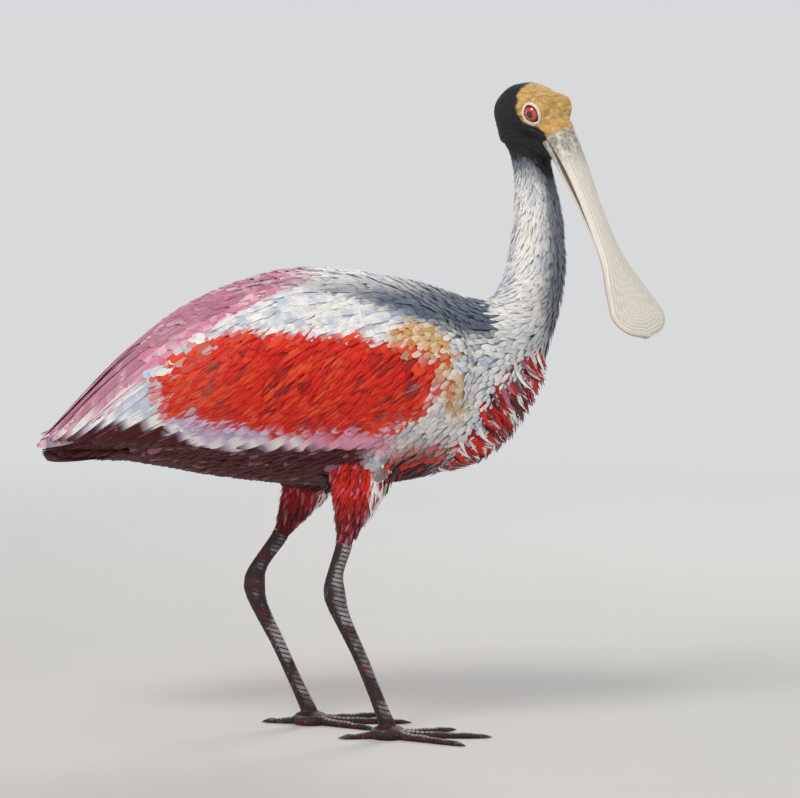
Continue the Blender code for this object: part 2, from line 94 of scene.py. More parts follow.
def ease(low, high, values):
    """From 0 at low to 1 at high, with soft ends."""
    share = np.clip((np.asarray(values, float) - low) / (high - low), 0.0, 1.0)
    return share * share * (3.0 - 2.0 * share)


def blended(first, last, share):
    """From the first value at a share of 0 to the last at 1."""
    return np.asarray(first) * (1 - share) + np.asarray(last) * share


def along_surface(vectors, normals):
    """The part of each vector in the surface, at length one."""
    return unit(vectors - normals * np.sum(vectors * normals, axis=-1, keepdims=True))


def grain(points, size, shift=0.0):
    """Smooth noise from -1 to 1, with features of one size."""
    scaled = np.asarray(points) / size + shift
    return np.array([noise.noise(p) for p in scaled.tolist()])


def bell(values, middle, width):
    """1 at the middle, falling softly to 0 a few widths from it."""
    return np.exp(-(((values - middle) / width) ** 2))


def ease_mm(low, high, values):
    return ease(low * MM, high * MM, values)


def bell_mm(values, middle, width):
    return bell(values, middle * MM, width * MM)


def turns(count):
    """Even angles round a circle."""
    return np.linspace(0, 2 * math.pi, count, endpoint=False)


def centre_of(node):
    low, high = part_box(node)
    return np.array((low + high) / 2)


CAD_BOX = np.array(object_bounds())
MIDDLE_Y = float(centre_of("wing_left")[1] + centre_of("wing_right")[1]) / 2  # the bird's own middle plane


# ---- meshes as arrays


def rows_of(elements, key, kind, width):
    """A property of a mesh's elements, in rows."""
    values = np.empty(len(elements) * width, kind)
    elements.foreach_get(key, values)
    return values.reshape(-1, width)


def solid(names):
    """Corners and triangles of some CAD nodes, and the number of each triangle's node."""
    corners, faces, owners, first = [], [], [], 0
    for number, name in enumerate(names):
        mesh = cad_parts[name].data
        mesh.calc_loop_triangles()
        corners.append(rows_of(mesh.vertices, "co", np.float32, 3).astype(float))
        faces.append(rows_of(mesh.loop_triangles, "vertices", np.int32, 3) + first)
        owners.append(np.full(len(mesh.loop_triangles), number))
        first += len(mesh.vertices)
    return np.concatenate(corners), np.concatenate(faces), np.concatenate(owners)


def tree_of(corners, faces):
    return BVHTree.FromPolygons(np.asarray(corners).tolist(), np.asarray(faces).tolist())


def tree_of_nodes(*names):
    return tree_of(*solid(names)[:2])


def distances(tree, points):
    """How far each point is from a tree's faces."""
    return np.array([tree.find_nearest(p)[3] for p in points.tolist()])


def point_tree(points):
    """A tree that finds the numbers of the points near a place."""
    tree = KDTree(len(points))
    for number, point in enumerate(points.tolist()):
        tree.insert(point, number)
    tree.balance()
    return tree


def placed(name, data):
    """A new object of the scene with a mesh, lamp or lens."""
    thing = bpy.data.objects.new(name, data)
    bpy.context.scene.collection.objects.link(thing)
    return thing


class Net:
    """A closed surface of four-sided faces, with neighbours, normals and nearest points."""

    def __init__(self, corners, faces):
        self.corners = corners
        self.faces = faces
        sides = np.concatenate([faces[:, [n, (n + 1) % 4]] for n in range(4)])
        sides = np.unique(np.sort(sides, axis=1), axis=0)
        self.starts = np.concatenate([sides[:, 0], sides[:, 1]])
        self.ends = np.concatenate([sides[:, 1], sides[:, 0]])
        self.valence = np.bincount(self.starts, minlength=len(corners)).astype(float)
        self.refresh()

    def refresh(self):
        """Works out normals and areas after corners have moved."""
        a, b, c, d = (self.corners[self.faces[:, n]] for n in range(4))
        across = np.cross(c - a, d - b)
        self.areas = np.linalg.norm(across, axis=1) / 2
        total = np.zeros_like(self.corners)
        for axis in range(3):
            for n in range(4):
                total[:, axis] += np.bincount(self.faces[:, n], across[:, axis], len(self.corners))
        self.normals = unit(total)
        self.face_normals = unit(self.normals[self.faces].mean(axis=1))
        self.tree = None

    def neighbours_mean(self, values):
        if values.ndim == 1:
            return np.bincount(self.starts, values[self.ends], len(values)) / self.valence
        return np.stack([self.neighbours_mean(values[:, n]) for n in range(values.shape[1])], axis=1)

    def averaged(self, values, rounds, rate=0.5):
        for _ in range(rounds):
            values = values + rate * (self.neighbours_mean(values) - values)
        return values

    def middles(self):
        return self.corners[self.faces].mean(axis=1)

    def faces_in(self, *names):
        """1 for each face whose first corner is in one of the named solids, else 0."""
        numbers = [BODY_NODES.index(name) for name in names]
        return np.isin(self.owner[self.faces[:, 0]], numbers).astype(float)

    def soften(self, rounds):
        self.corners = self.averaged(self.corners, rounds)
        self.refresh()

    def push(self, heights):
        """Moves each corner along its normal."""
        self.corners = self.corners + self.normals * heights[:, None]
        self.refresh()

    def snap(self, points):
        """The nearest points of the surface, and its soft normals there."""
        if self.tree is None:
            self.tree = tree_of(self.corners, self.faces)
        found = [self.tree.find_nearest(p) for p in points.tolist()]
        places = np.array([hit[0] for hit in found])
        return places, self.face_normals[[hit[2] for hit in found]]


def remeshed(names, voxel, rounds, *extras):
    """One even, softened surface over the union of some CAD nodes and extra solids."""
    corners, faces, _ = solid(names)
    for places, triangles in extras:
        faces = np.concatenate([faces, triangles + len(corners)])
        corners = np.concatenate([corners, places])
    mesh = bpy.data.meshes.new("union")
    mesh.from_pydata(corners.tolist(), [], faces.tolist())
    body = placed("union", mesh)
    even = body.modifiers.new("even", "REMESH")
    even.mode = "VOXEL"
    even.voxel_size = voxel
    made = bpy.data.meshes.new_from_object(body.evaluated_get(bpy.context.evaluated_depsgraph_get()))
    places = rows_of(made.vertices, "co", np.float32, 3).astype(float)
    loops = rows_of(made.loops, "vertex_index", np.int32, 1)
    if len(loops) != 4 * len(made.polygons):
        raise RuntimeError("the even surface has faces that aren't four-sided")
    bpy.data.objects.remove(body)
    for spent in (made, mesh):
        bpy.data.meshes.remove(spent)
    net = Net(places, loops.reshape(-1, 4))
    net.soften(rounds)
    return net


def new_piece(name, shape, finish, replaced=(), marks=None, wraps=None, crease=None):
    """A piece from corners, the faces' corner numbers in a row and how many each face has.

    Its marks are one value or vector for each corner.
    """
    corners, loops, totals = shape
    mesh = bpy.data.meshes.new(name)
    mesh.vertices.add(len(corners))
    mesh.vertices.foreach_set("co", np.asarray(np.clip(corners, *CAD_BOX), np.float32).ravel())
    mesh.loops.add(len(loops))
    mesh.loops.foreach_set("vertex_index", np.asarray(loops, np.int32))
    mesh.polygons.add(len(totals))
    starts = np.concatenate([[0], np.cumsum(totals)[:-1]])
    mesh.polygons.foreach_set("loop_start", np.asarray(starts, np.int32))
    mesh.update(calc_edges=True)
    if mesh.validate(clean_customdata=False):
        raise RuntimeError(name + " has broken faces")
    mesh.polygons.foreach_set("use_smooth", np.ones(len(totals), bool))
    for title, values in marks.items():
        flat = np.asarray(values, np.float32)
        kind, key = ("FLOAT", "value") if flat.ndim == 1 else ("FLOAT_VECTOR", "vector")
        mesh.attributes.new(title, kind, "POINT").data.foreach_set(key, flat.ravel())
    if wraps is not None:
        layer = mesh.uv_layers.new(name="OFBake")
        layer.data.foreach_set("uv", np.asarray(wraps, np.float32).ravel())
    if crease is not None:
        mesh.set_sharp_from_angle(angle=crease)
    mesh.materials.append(finish)
    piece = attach(placed(name, mesh), BODY)
    if replaced:
        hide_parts(*replaced)


def joined(parts):
    """Several sets of corners and faces, as one set of flat arrays."""
    corners, loops, totals, first = [], [], [], 0
    for places, faces in parts:
        corners.append(places)
        loops.append((faces + first).ravel())
        totals.append(np.full(len(faces), faces.shape[1]))
        first += len(places)
    return np.concatenate(corners), np.concatenate(loops), np.concatenate(totals)


def grid_faces(rows, columns):
    """Four-sided faces of a grid that is closed round its columns."""
    row, column = np.meshgrid(np.arange(rows - 1), np.arange(columns), indexing="ij")
    after = (column + 1) % columns
    corners = [row * columns + column, row * columns + after]
    corners += [(row + 1) * columns + after, (row + 1) * columns + column]
    return np.stack([c.ravel() for c in corners], axis=1)


def lofted(rings):
    """A closed solid through rings of points, as corners and triangles."""
    rows, columns = len(rings), len(rings[0])
    quads = grid_faces(rows, columns)
    last = (rows - 1) * columns
    fan = np.arange(1, columns - 1)
    caps = [
        np.stack([np.zeros_like(fan), fan + 1, fan], axis=1),
        np.stack([np.full_like(fan, last), last + fan, last + fan + 1], axis=1),
    ]
    return np.concatenate(rings), np.concatenate([quads[:, [0, 1, 2]], quads[:, [0, 2, 3]], *caps])


# ---- the bird's own directions

HEAD_SIDE = unit(centre_of("eye_left") - centre_of("eye_right"))
EYE_MIDDLE = (centre_of("eye_left") + centre_of("eye_right")) / 2
EYE_RADIUS = float(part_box("eye_left")[1][2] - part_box("eye_left")[0][2]) / 2
HEAD_AHEAD = along_surface(centre_of("bill_upper") - EYE_MIDDLE, HEAD_SIDE)
HEAD_UP = np.cross(HEAD_AHEAD, HEAD_SIDE)
HEAD_LOW = float(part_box("head")[0][2])  # where the bare skin ends
OUTER_CORNERS, OUTER_FACES, OUTER_OWNER = solid(BODY_NODES)
OUTER_TREE = tree_of(OUTER_CORNERS, OUTER_FACES)
HEAD_TREE = tree_of_nodes("head")


def node_at(points):
    """The number in BODY_NODES of the solid nearest to each point."""
    return OUTER_OWNER[[OUTER_TREE.find_nearest(p)[2] for p in points.tolist()]]


def neck_line(count=12):
    """Middles of level slices through the neck, from low to high."""
    names = ("neck_lower", "neck_upper")
    corners, tree = solid(names)[0], tree_of_nodes(*names)
    levels = np.linspace(corners[:, 2].min(), corners[:, 2].max(), count + 1)
    middles = []
    for z in (levels[:-1] + levels[1:]) / 2:
        around = corners[np.abs(corners[:, 2] - z) < 20 * MM].mean(axis=0)
        hits = []
        for angle in turns(24):
            outward = Vector((math.cos(angle), math.sin(angle), 0.0))
            hit = tree.ray_cast(Vector((around[0], around[1], z)) + outward * 0.2, -outward)[0]
            if hit is not None:
                hits.append(np.array(hit))
        middles.append((np.min(hits, axis=0) + np.max(hits, axis=0)) / 2)
    return np.array(middles)


NECK_LINE = neck_line()


def outline(count=80):
    """Heights of the back and of the belly along the body, by X."""
    places = np.linspace(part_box("wing_right")[0][0] + 2 * MM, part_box("breast_plume")[1][0], count)
    found = np.repeat([[0.3], [0.2]], count, axis=1)  # where nothing is met
    for n, x in enumerate(places):
        for row, (start, way, pick) in enumerate(((0.40, -1.0, max), (0.10, 1.0, min))):
            starts = [Vector((x, MIDDLE_Y + y, start)) for y in (-0.03, -0.012, 0.0, 0.012, 0.03)]
            hits = [OUTER_TREE.ray_cast(place, Vector((0.0, 0.0, way)))[0] for place in starts]
            heights = [hit[2] for hit in hits if hit is not None]
            if heights:
                found[row, n] = pick(heights)
    return places, *found


OUTLINE_X, OUTLINE_TOP, OUTLINE_BOTTOM = outline()


def heights_on_body(points):
    """Depth below the back's line, height above the belly's, and share of the way up the neck."""
    top = np.interp(points[:, 0], OUTLINE_X, OUTLINE_TOP)
    bottom = np.interp(points[:, 0], OUTLINE_X, OUTLINE_BOTTOM)
    neck = (points[:, 2] - NECK_LINE[0, 2]) / (NECK_LINE[-1, 2] - NECK_LINE[0, 2])
    return np.stack([top - points[:, 2], points[:, 2] - bottom, neck], axis=1)


# ---- settings


def paint(*shades):
    """A colour from 0 to 255, as the linear values that shaders take."""
    return tuple(c / 12.92 if c <= 0.04045 else ((c + 0.055) / 1.055) ** 2.4 for c in np.array(shades) / 255)


def colour(name, description, *shades):
    return FloatVectorProperty(
        name=name, description=description, subtype="COLOR", size=3, min=0.0, max=1.0,
        default=paint(*shades),
    )


def length(name, description, millimetres):
    return FloatProperty(
        name=name, description=description, default=millimetres * MM, min=0.0, unit="LENGTH", precision=4,
    )


class PlumageColours(PropertyGroup):
    """The colours of the feathers and of the skin under them."""

    white: colour("White", "Neck, shoulders and breast", 240, 236, 232)
    ice: colour("Ice blue", "Cool strokes in the white", 176, 190, 208)
    # Slate is the mantle's colour, and painted shade down the front of the neck.
    slate: colour("Slate", "Mantle and front of the neck", 80, 94, 114)
    mauve: colour("Mauve", "Upper edge of the folded wing", 184, 120, 142)
    rose: colour("Rose", "Strokes beside the mauve", 230, 132, 168)
    lilac: colour("Lilac", "Lower wing behind the scarlet", 196, 164, 204)
    scarlet: colour("Scarlet", "The lesser coverts", 214, 30, 8)
    vermilion: colour("Vermilion", "Bright plumes in the scarlet", 236, 78, 34)
    ember: colour("Ember", "Deep strokes in the scarlet", 140, 10, 8)
    salmon: colour("Salmon", "Pale plumes behind the scarlet", 196, 104, 84)
    ochre: colour("Ochre", "Patch at the bend of the wing", 214, 160, 74)
    # Maroon on the wing's lower edge and under the belly is painted shade.
    maroon: colour("Maroon", "Lower edge of the wing and belly", 74, 8, 16)


class HeadColours(PropertyGroup):
    """The colours of the bare head, bill and eyes."""

    buff: colour("Buff", "Bare skin of the crown and face", 206, 160, 88)
    # Pale buff is mottling, and painted highlight on raised skin of the crown.
    pale: colour("Pale buff", "Light creases of the crown", 238, 208, 150)
    soot: colour("Soot", "Bare skin of the nape and cheeks", 16, 15, 17)
    # The lid's near-white colour is painted highlight on the skin round the eye.
    lid: colour("Lid", "Ring of skin round the eye", 236, 226, 208)
    gape: colour("Gape", "Corner of the mouth", 178, 92, 52)
    ivory: colour("Ivory", "Horn of the bill", 232, 226, 211)
    horn: colour("Grey horn", "Grooves and base of the bill", 118, 116, 110)
    rim: colour("Rim", "Edge of the spoon", 190, 150, 160)
    iris: colour("Iris", "Red of the eye", 196, 20, 8)


class LegColours(PropertyGroup):
    """The colours of the scaled legs and the claws."""

    hide: colour("Hide", "Scales of the legs and feet", 44, 20, 24)
    wine: colour("Wine", "Warmer scales and joints", 84, 22, 30)
    # The pale tone of the scales is painted highlight, with some wear.
    wear_and_highlight: colour("Worn", "Pale worn edges of the scales", 170, 167, 168)
    claw: colour("Claw", "Horn of the claws", 30, 25, 23)


class CoatSizes(PropertyGroup):
    """How deep the coat is and how far apart its feathers stand."""

    neck_depth: length("Neck depth", "Depth of the neck's feathers", 3.0)
    trunk_depth: length("Trunk depth", "Depth of the body's feathers", 5.5)
    wing_depth: length("Wing depth", "Depth of the wing's coverts", 4.5)
    thigh_depth: length("Thigh depth", "Depth of the thigh's feathers", 3.2)
    neck_spacing: length("Neck spacing", "Between the neck's feathers", 2.0)
    trunk_spacing: length("Trunk spacing", "Between the trunk's feathers", 2.9)
    covert_spacing: length("Covert spacing", "Between the wing's coverts", 2.9)
    thigh_spacing: length("Thigh spacing", "Between the thigh's feathers", 2.4)
    seed: IntProperty(name="Seed", description="Start of the random draws", default=11, min=0)


class HeadSizes(PropertyGroup):
    """The shapes of the bare head and of the bill's surface."""

    opening: length("Eye opening", "Half the width between the lids", 6.4)
    lid_width: length("Lid width", "Half the width of the ring round the eye", 1.0)
    crease: length("Crease", "Depth of the folds of the skin", 0.62)
    ridge: length("Bill ridge", "Height of the bill's ridges", 0.22)
    ridge_pitch: length("Ridge pitch", "From one ridge to the next", 2.3)


class StageSizes(PropertyGroup):
    """The camera, floor and lights."""

    frame_width: length("Frame width", "Width of the view at the bird", 632.0)
    distance: length("Distance", "From the camera to the bird's middle", 2600.0)
    aim_x: length("Aim ahead", "Middle of the view, ahead of the feet", 43.2)
    aim_z: length("Aim height", "Middle of the view above the floor", 265.4)
    elevation: FloatProperty(
        name="Elevation", description="How far the camera looks down", default=math.radians(4),
        subtype="ANGLE",
    )
    floor: length("Floor", "Half the width of the floor", 20000.0)


GROUPS = {
    "plumage": PlumageColours, "head": HeadColours, "leg": LegColours,
    "coat": CoatSizes, "face": HeadSizes, "stage": StageSizes,
}


class SpoonbillSettings(PropertyGroup):
    """Everything about the bird's looks that a user may change."""

    __annotations__ = {
        key: PointerProperty(type=group, name=key.capitalize(), description=group.__doc__)
        for key, group in GROUPS.items()
    }


# ---- shader nodes


class Wire:
    """An output of a shader node. Arithmetic on it adds Math nodes."""

    def __init__(self, nodes, socket):
        self.nodes, self.socket = nodes, socket

    def math(self, operation, other, swapped=False):
        values = (other, self) if swapped else (self, other)
        return self.nodes.node("Math", {"operation": operation}, values)

    __add__ = __radd__ = partialmethod(math, "ADD")
    __mul__ = __rmul__ = partialmethod(math, "MULTIPLY")
    __sub__ = partialmethod(math, "SUBTRACT")
    __rsub__ = partialmethod(math, "SUBTRACT", swapped=True)
    __truediv__ = partialmethod(math, "DIVIDE")
    __rtruediv__ = partialmethod(math, "DIVIDE", swapped=True)
    __pow__ = partialmethod(math, "POWER")
    __rpow__ = partialmethod(math, "POWER", swapped=True)


class Nodes:
    """The nodes of a material or of the studio, in the making."""

    def __init__(self, owner):
        owner.use_nodes = True
        self.tree = owner.node_tree

    def node(self, kind, settings=None, inputs=(), output=0):
        """Adds a node: its settings first, then its sockets by name or number."""
        made = self.tree.nodes.new("ShaderNode" + kind)
        for key, value in (settings or {}).items():
            setattr(made, key, value)
        for key, value in inputs.items() if isinstance(inputs, dict) else enumerate(inputs):
            if isinstance(value, Wire):
                self.tree.links.new(value.socket, made.inputs[key])
            else:
                made.inputs[key].default_value = value
        return Wire(self, made.outputs[output])

    def link(self, wire, node, socket):
        self.tree.links.new(wire.socket, self.tree.nodes[node].inputs[socket])


class Finish(Nodes):
    """A material in the making: a Principled shader and its nodes."""

    def __init__(self, name, **constants):
        self.material = bpy.data.materials.new(name)
        super().__init__(self.material)
        self.shader = self.tree.nodes["Principled BSDF"]
        for socket, value in constants.items():
            self.shader.inputs[socket.replace("_", " ")].default_value = value

    def feed(self, socket, wire):
        self.link(wire, self.shader.name, socket)

    def attribute(self, name, output="Fac"):
        return self.node("Attribute", {"attribute_name": name}, output=output)

    def split(self, vector):
        """The three parts of a vector, as wires."""
        return [self.node("SeparateXYZ", inputs=[vector], output=n) for n in range(3)]

    def noise(self, place, scale, detail=3.0, stretch=(1.0, 1.0, 1.0), output="Fac"):
        moved = self.node("Mapping", inputs={"Vector": place, "Scale": [s * scale for s in stretch]})
        return self.node("TexNoise", inputs={"Vector": moved, "Scale": 1.0, "Detail": detail}, output=output)

    def ramp(self, value, low, high):
        """From 0 at low to 1 at high, softly."""
        sockets = {"Value": value, "From Min": low, "From Max": high}
        return self.node("MapRange", {"interpolation_type": "SMOOTHSTEP"}, sockets)

    def mix(self, share, first, second):
        """A colour between two others."""
        first, second = (value if isinstance(value, Wire) else (*value, 1.0) for value in (first, second))
        return self.node("Mix", {"data_type": "RGBA"}, {"Factor": share, 6: first, 7: second}, output=2)

    def bump(self, height, distance, strength=1.0):
        return self.node("Bump", inputs={"Height": height, "Distance": distance, "Strength": strength})


class Markings:
    """The bird's pattern by place, for skin and feathers, in millimetres."""

    def __init__(self, finish, colours):
        self.finish, self.colours = finish, colours
        self.mix, self.ramp = finish.mix, finish.ramp
        self.place = finish.attribute("place", "Vector")
        self.x, self.y, self.z = (part * (1 / MM) for part in finish.split(self.place))
        edge = finish.split(finish.attribute("edge", "Vector"))
        self.below_back, self.above_belly = edge[0] * (1 / MM), edge[1] * (1 / MM)
        self.neck = edge[2]
        self.chance = finish.attribute("chance")
        self.rough = (self.chance - 0.5) * 1.4 + (finish.noise(self.place, 60.0) - 0.5) * 2.2

    def blob(self, middle, radii, tilt=0.0, soft=0.18, ragged=0.12, slant=0.0, square=2.0):
        """A tilted oval patch in the side view with an uneven edge."""
        turn = math.radians(tilt)
        dz = self.z - middle[1]
        dx = self.x - middle[0] - dz * slant
        along = (dx * math.cos(turn) + dz * math.sin(turn)) / radii[0]
        across = (dz * math.cos(turn) - dx * math.sin(turn)) / radii[1]
        reach = (along * along) ** (square / 2) + (across * across) ** (square / 2)
        return 1.0 - self.ramp(reach ** (1 / square) + self.rough * ragged, 1.0 - soft, 1.0 + soft)

    def band(self, value, low, high, soft, ragged=0.0):
        """A stripe between two levels of a value."""
        uneven = value + self.rough * ragged
        inside = self.ramp(uneven, low - soft, low + soft)
        return inside * (1.0 - self.ramp(uneven, high - soft, high + soft))

    def strokes(self, stretch, scale, low, high):
        """Long uneven streaks, as a share from 0 to 1."""
        return self.ramp(self.finish.noise(self.place, scale, 2.0, stretch), low, high)

    def streaks(self, size, low, high):
        """Streaks that run back and down with the wing's feathers."""
        along, across = self.x * 0.82 + self.z * 0.57, self.z * 0.82 - self.x * 0.57
        parts = [along * (0.12 / size), self.y * (0.5 / size), across / size]
        place = self.finish.node("CombineXYZ", inputs=parts)
        return self.ramp(self.finish.noise(place, 1.0, 2.0), low, high)

    def plumage(self):
        """The feathers of body and wings."""
        mix, ramp, band, c = self.mix, self.ramp, self.band, self.colours
        x, z, rough, chance = self.x, self.z, self.rough, self.chance
        streak = ramp(chance, 0.35, 0.75)
        shade = mix(self.strokes((1, 1, 2.5), 70.0, 0.42, 0.66) * 0.75, c.white, c.ice)

        # The breast and flank turn from pale grey through red to deep maroon, painted shade on the
        # underside.
        low = ramp(self.above_belly + rough * 5.0, 44.0, 14.0)
        shade = mix(low * ramp(x, 96.0, 60.0), shade, c.maroon)
        reds = band(self.above_belly, 12.0, 30.0, 6.0, 5.0) * band(x, -30.0, 84.0, 10.0)
        shade = mix(reds * streak * 0.85, shade, c.scarlet)

        # The mantle is slate along the spine, and widest at the root of the neck.
        wide = ramp(x, -70.0, 70.0) * 23.0 + 10.0
        spine = ramp((self.below_back + rough * 2.5) / wide, 1.1, 0.70) * ramp(x, -90.0, -50.0)
        shade = mix(spine * (1.0 - ramp(self.neck, 0.30, 0.42)) * 0.95, shade, c.slate)

        # The wing's upper edge runs from mauve into rose, and the rear is lilac and ice. The white streaks
        # in the rose and mauve are painted sheen.
        rear = ramp(x + rough * 12.0, -16.0, -62.0)
        taper = (ramp(x, -244.0, -165.0) * 0.65 + 0.35) * (ramp(x, -20.0, -130.0) * 0.70 + 0.30)
        depth = (self.below_back + rough * 4.0) / taper
        cool = band(x, -240.0, -120.0, 12.0) * self.streaks(7.0, 0.36, 0.56)
        shade = mix(cool * 0.85, shade, mix(ramp(x, -150.0, -220.0) * 0.7, c.ice, c.lilac))
        sheen = self.streaks(4.0, 0.52, 0.70) * 0.50
        rosy = mix(self.streaks(5.0, 0.46, 0.62) * 0.55, mix(0.30, c.rose, c.mauve), c.white)
        shade = mix(rear * ramp(depth, 36.0, 30.0), shade, rosy)
        mauve = mix(sheen, mix(ramp(chance, 0.55, 0.95) * 0.4, c.mauve, c.rose), c.white)
        shade = mix(rear * ramp(depth, 28.0, 20.0), shade, mauve)
        low_wing = band(z, 226.0, 266.0, 6.0, 3.0) * band(x, -150.0, 40.0, 14.0)
        shade = mix(low_wing * 0.8, shade, mix(ramp(x, -70.0, -30.0), c.lilac, c.rose))

        # The ochre bend of the wing curves round the front of the scarlet patch.
        bend = self.blob((58.0, 306.0), (29.0, 22.0), -32.0, 0.20, 0.14)
        hook = self.blob((84.0, 274.0), (9.0, 24.0), 10.0, 0.25, 0.16)
        ochre = mix(ramp(chance, 0.2, 0.9) * 0.45, c.ochre, c.white)
        shade = mix(bend * 0.92, shade, ochre)
        shade = mix(hook * 0.75, shade, ochre)
        scarlet = mix(self.strokes((1, 1, 1), 60.0, 0.45, 0.62) * streak, c.scarlet, c.ember)
        scarlet = mix(ramp(chance, 0.30, 0.10) * 0.8, scarlet, c.vermilion)
        scarlet = mix(ramp(x, -70.0, -130.0) * streak * 0.65, scarlet, c.salmon)
        patch = self.blob((-32.0, 283.0), (108.0, 37.0), -4.0, 0.10, 0.17, 0.45, 3.0)
        shade = mix(patch, shade, scarlet)

        # The lower edge of the wing is painted deep maroon as shade, with a cream edge above it.
        swell = ramp(x, -236.0, -186.0) * ramp(x, -96.0, -160.0)
        depth = z - swell * 20.0 - 226.0 + rough * 4.0
        under = ramp(depth, 9.0, 2.0) * ramp(x, 30.0, 8.0) * (1.0 - self.finish.attribute("front"))
        shade = mix(under, shade, mix(ramp(chance, 0.90, 0.98) * 0.5, c.maroon, c.mauve))
        cream = band(depth, 8.0, 14.0, 3.0) * band(x, -226.0, -30.0, 8.0)
        return mix(cream * 0.9, shade, c.white)

    def thigh(self):
        """The thighs: red above, dark at the heel, with a white streak in front."""
        mix, ramp, c = self.mix, self.ramp, self.colours
        shade = mix(ramp(self.z + self.rough * 10.0, 200.0, 160.0), c.scarlet, c.maroon)
        shade = mix(ramp(self.chance, 0.45, 0.80) * 0.85, shade, c.ember)
        shade = mix(ramp(self.chance, 0.24, 0.12) * 0.5, shade, c.rose)
        front = ramp(self.finish.attribute("front") + self.rough * 0.12, 0.42, 0.72)
        return mix(front * ramp(self.chance, 0.25, 0.45) * ramp(self.z, 150.0, 165.0), shade, c.white)

    def neck_coat(self):
        """The neck: white behind, painted cool shade of slate down its front, and black under the head."""
        mix, ramp, c = self.mix, self.ramp, self.colours
        shade = mix(self.strokes((1, 1, 0.4), 90.0, 0.45, 0.7) * 0.6, c.white, c.ice)
        # The slate down the front of the neck is painted shade.
        front = ramp(self.finish.attribute("front") + self.rough * 0.10, 0.0, 0.72)
        shade = mix(front * 0.85, shade, c.slate)
        high = self.z + self.rough * 3.0 - HEAD_LOW / MM + front * 16.0
        shade = mix(ramp(high, -30.0, -12.0) * 0.9, shade, c.slate)
        return mix(ramp(high, -14.0, -5.0), shade, (0.010, 0.010, 0.012))

    def plume(self):
        """The breast's plume: mauve and maroon with scarlet and white curls."""
        mix, ramp, c = self.mix, self.ramp, self.colours
        shade = mix(ramp(self.chance, 0.10, 0.40), c.maroon, c.mauve)
        shade = mix(ramp(self.chance, 0.36, 0.44), shade, c.scarlet)
        shade = mix(ramp(self.chance, 0.62, 0.66) * 0.8, shade, c.ember)
        return mix(ramp(self.chance, 0.74, 0.78), shade, c.white)


def feather_finish(name, colours, marking, barbs):
    """Matt feather: markings by place, a faint shaft and fine barbs."""
    finish = Finish(name, Sheen_Weight=0.12, Sheen_Roughness=0.5, Specular_IOR_Level=0.25)
    marks = Markings(finish, colours)
    shade = getattr(marks, marking)()
    along, across, _ = finish.split(finish.attribute("vane", "Vector"))
    reach = finish.node("Math", {"operation": "ABSOLUTE"}, [across])
    # Uneven barbs slant from the shaft to the edge, and each feather has its own tone.
    slant = (along - reach * 0.3) * (barbs * 0.22)
    barb = finish.node("CombineXYZ", inputs=[slant, marks.chance * 60.0, across * 0.8])
    barb = finish.node("TexNoise", inputs={"Vector": barb, "Scale": 1.0, "Detail": 2.5})
    value = finish.ramp(along, -0.1, 0.7) * 0.26 + 0.76 + (marks.chance - 0.5) * 0.14
    value = value + finish.ramp(reach, 0.5, 1.0) * 0.06 + (barb - 0.5) * 0.34
    shade = finish.node("HueSaturation", inputs={"Value": value, "Color": shade})
    shaft = finish.ramp(reach, 0.09, 0.03)
    shade = finish.mix(shaft * 0.16, shade, (0.75, 0.70, 0.66))
    finish.feed("Base Color", shade)
    finish.feed("Normal", finish.bump(barb * 1.6 + shaft * 1.4, 0.10 * MM, 1.0))
    finish.feed("Roughness", barb * 0.16 + 0.60)
    return finish.material


# ---- skin


THIN_REACH = 50 * MM  # how far through the body the other side is looked for


def coat_depths(net, neck, trunk, wing, thigh):
    """How far the skin lies under the plumage at each corner, less where the body is thin."""
    owner = node_at(net.corners)
    table = {
        "trunk": trunk, "neck_lower": neck * 1.3, "neck_upper": neck, "tail": 2.4 * MM,
        "thigh": thigh, "shank": 1.2 * MM, "wing": wing,
    }
    kinds = [name if name in table else name.split("_")[0] for name in BODY_NODES]
    depths = np.array([table[kind] for kind in kinds])[owner]
    near_head = owner == BODY_NODES.index("neck_upper")
    depths[near_head] *= 0.30 + 0.70 * ease_mm(0.0, 16, distances(HEAD_TREE, net.corners[near_head]))
    tree = tree_of(net.corners, net.faces)
    room = np.empty(len(depths))
    for n, (corner, way) in enumerate(zip(net.corners.tolist(), (-net.normals).tolist())):
        hit = tree.ray_cast(Vector(corner) + Vector(way) * (0.5 * MM), Vector(way), THIN_REACH)[3]
        room[n] = THIN_REACH if hit is None else hit
    return net.averaged(np.minimum(depths, room * 0.36), 14), owner


SKIN_END = -0.230  # behind this the skin draws back from the tips of wings and tail
REAR_WALL = 4.5 * MM  # how deep inside the folded wings the flesh between them begins


def rear_filling():
    """The flesh in the hollow between wings and tail, measured from outside."""
    rings = []
    for x in np.linspace(-0.06, -0.238, 13):
        top = float(np.interp(x, OUTLINE_X, OUTLINE_TOP)) - REAR_WALL
        levels = np.linspace(0.2195, max(top, 0.224), 16)
        halves = []
        for z in levels:
            hit = OUTER_TREE.ray_cast(Vector((x, MIDDLE_Y - 0.2, z)), Vector((0.0, 1.0, 0.0)))[0]
            halves.append(0.0 if hit is None else MIDDLE_Y - hit[1] - REAR_WALL)
        halves = np.clip(halves, 1.0 * MM, None)
        near = np.stack([np.full(16, x), MIDDLE_Y - halves, levels], axis=1)
        far = np.stack([np.full(16, x), MIDDLE_Y + halves, levels], axis=1)
        rings.append(np.concatenate([near, far[::-1]]))
    return lofted(rings)


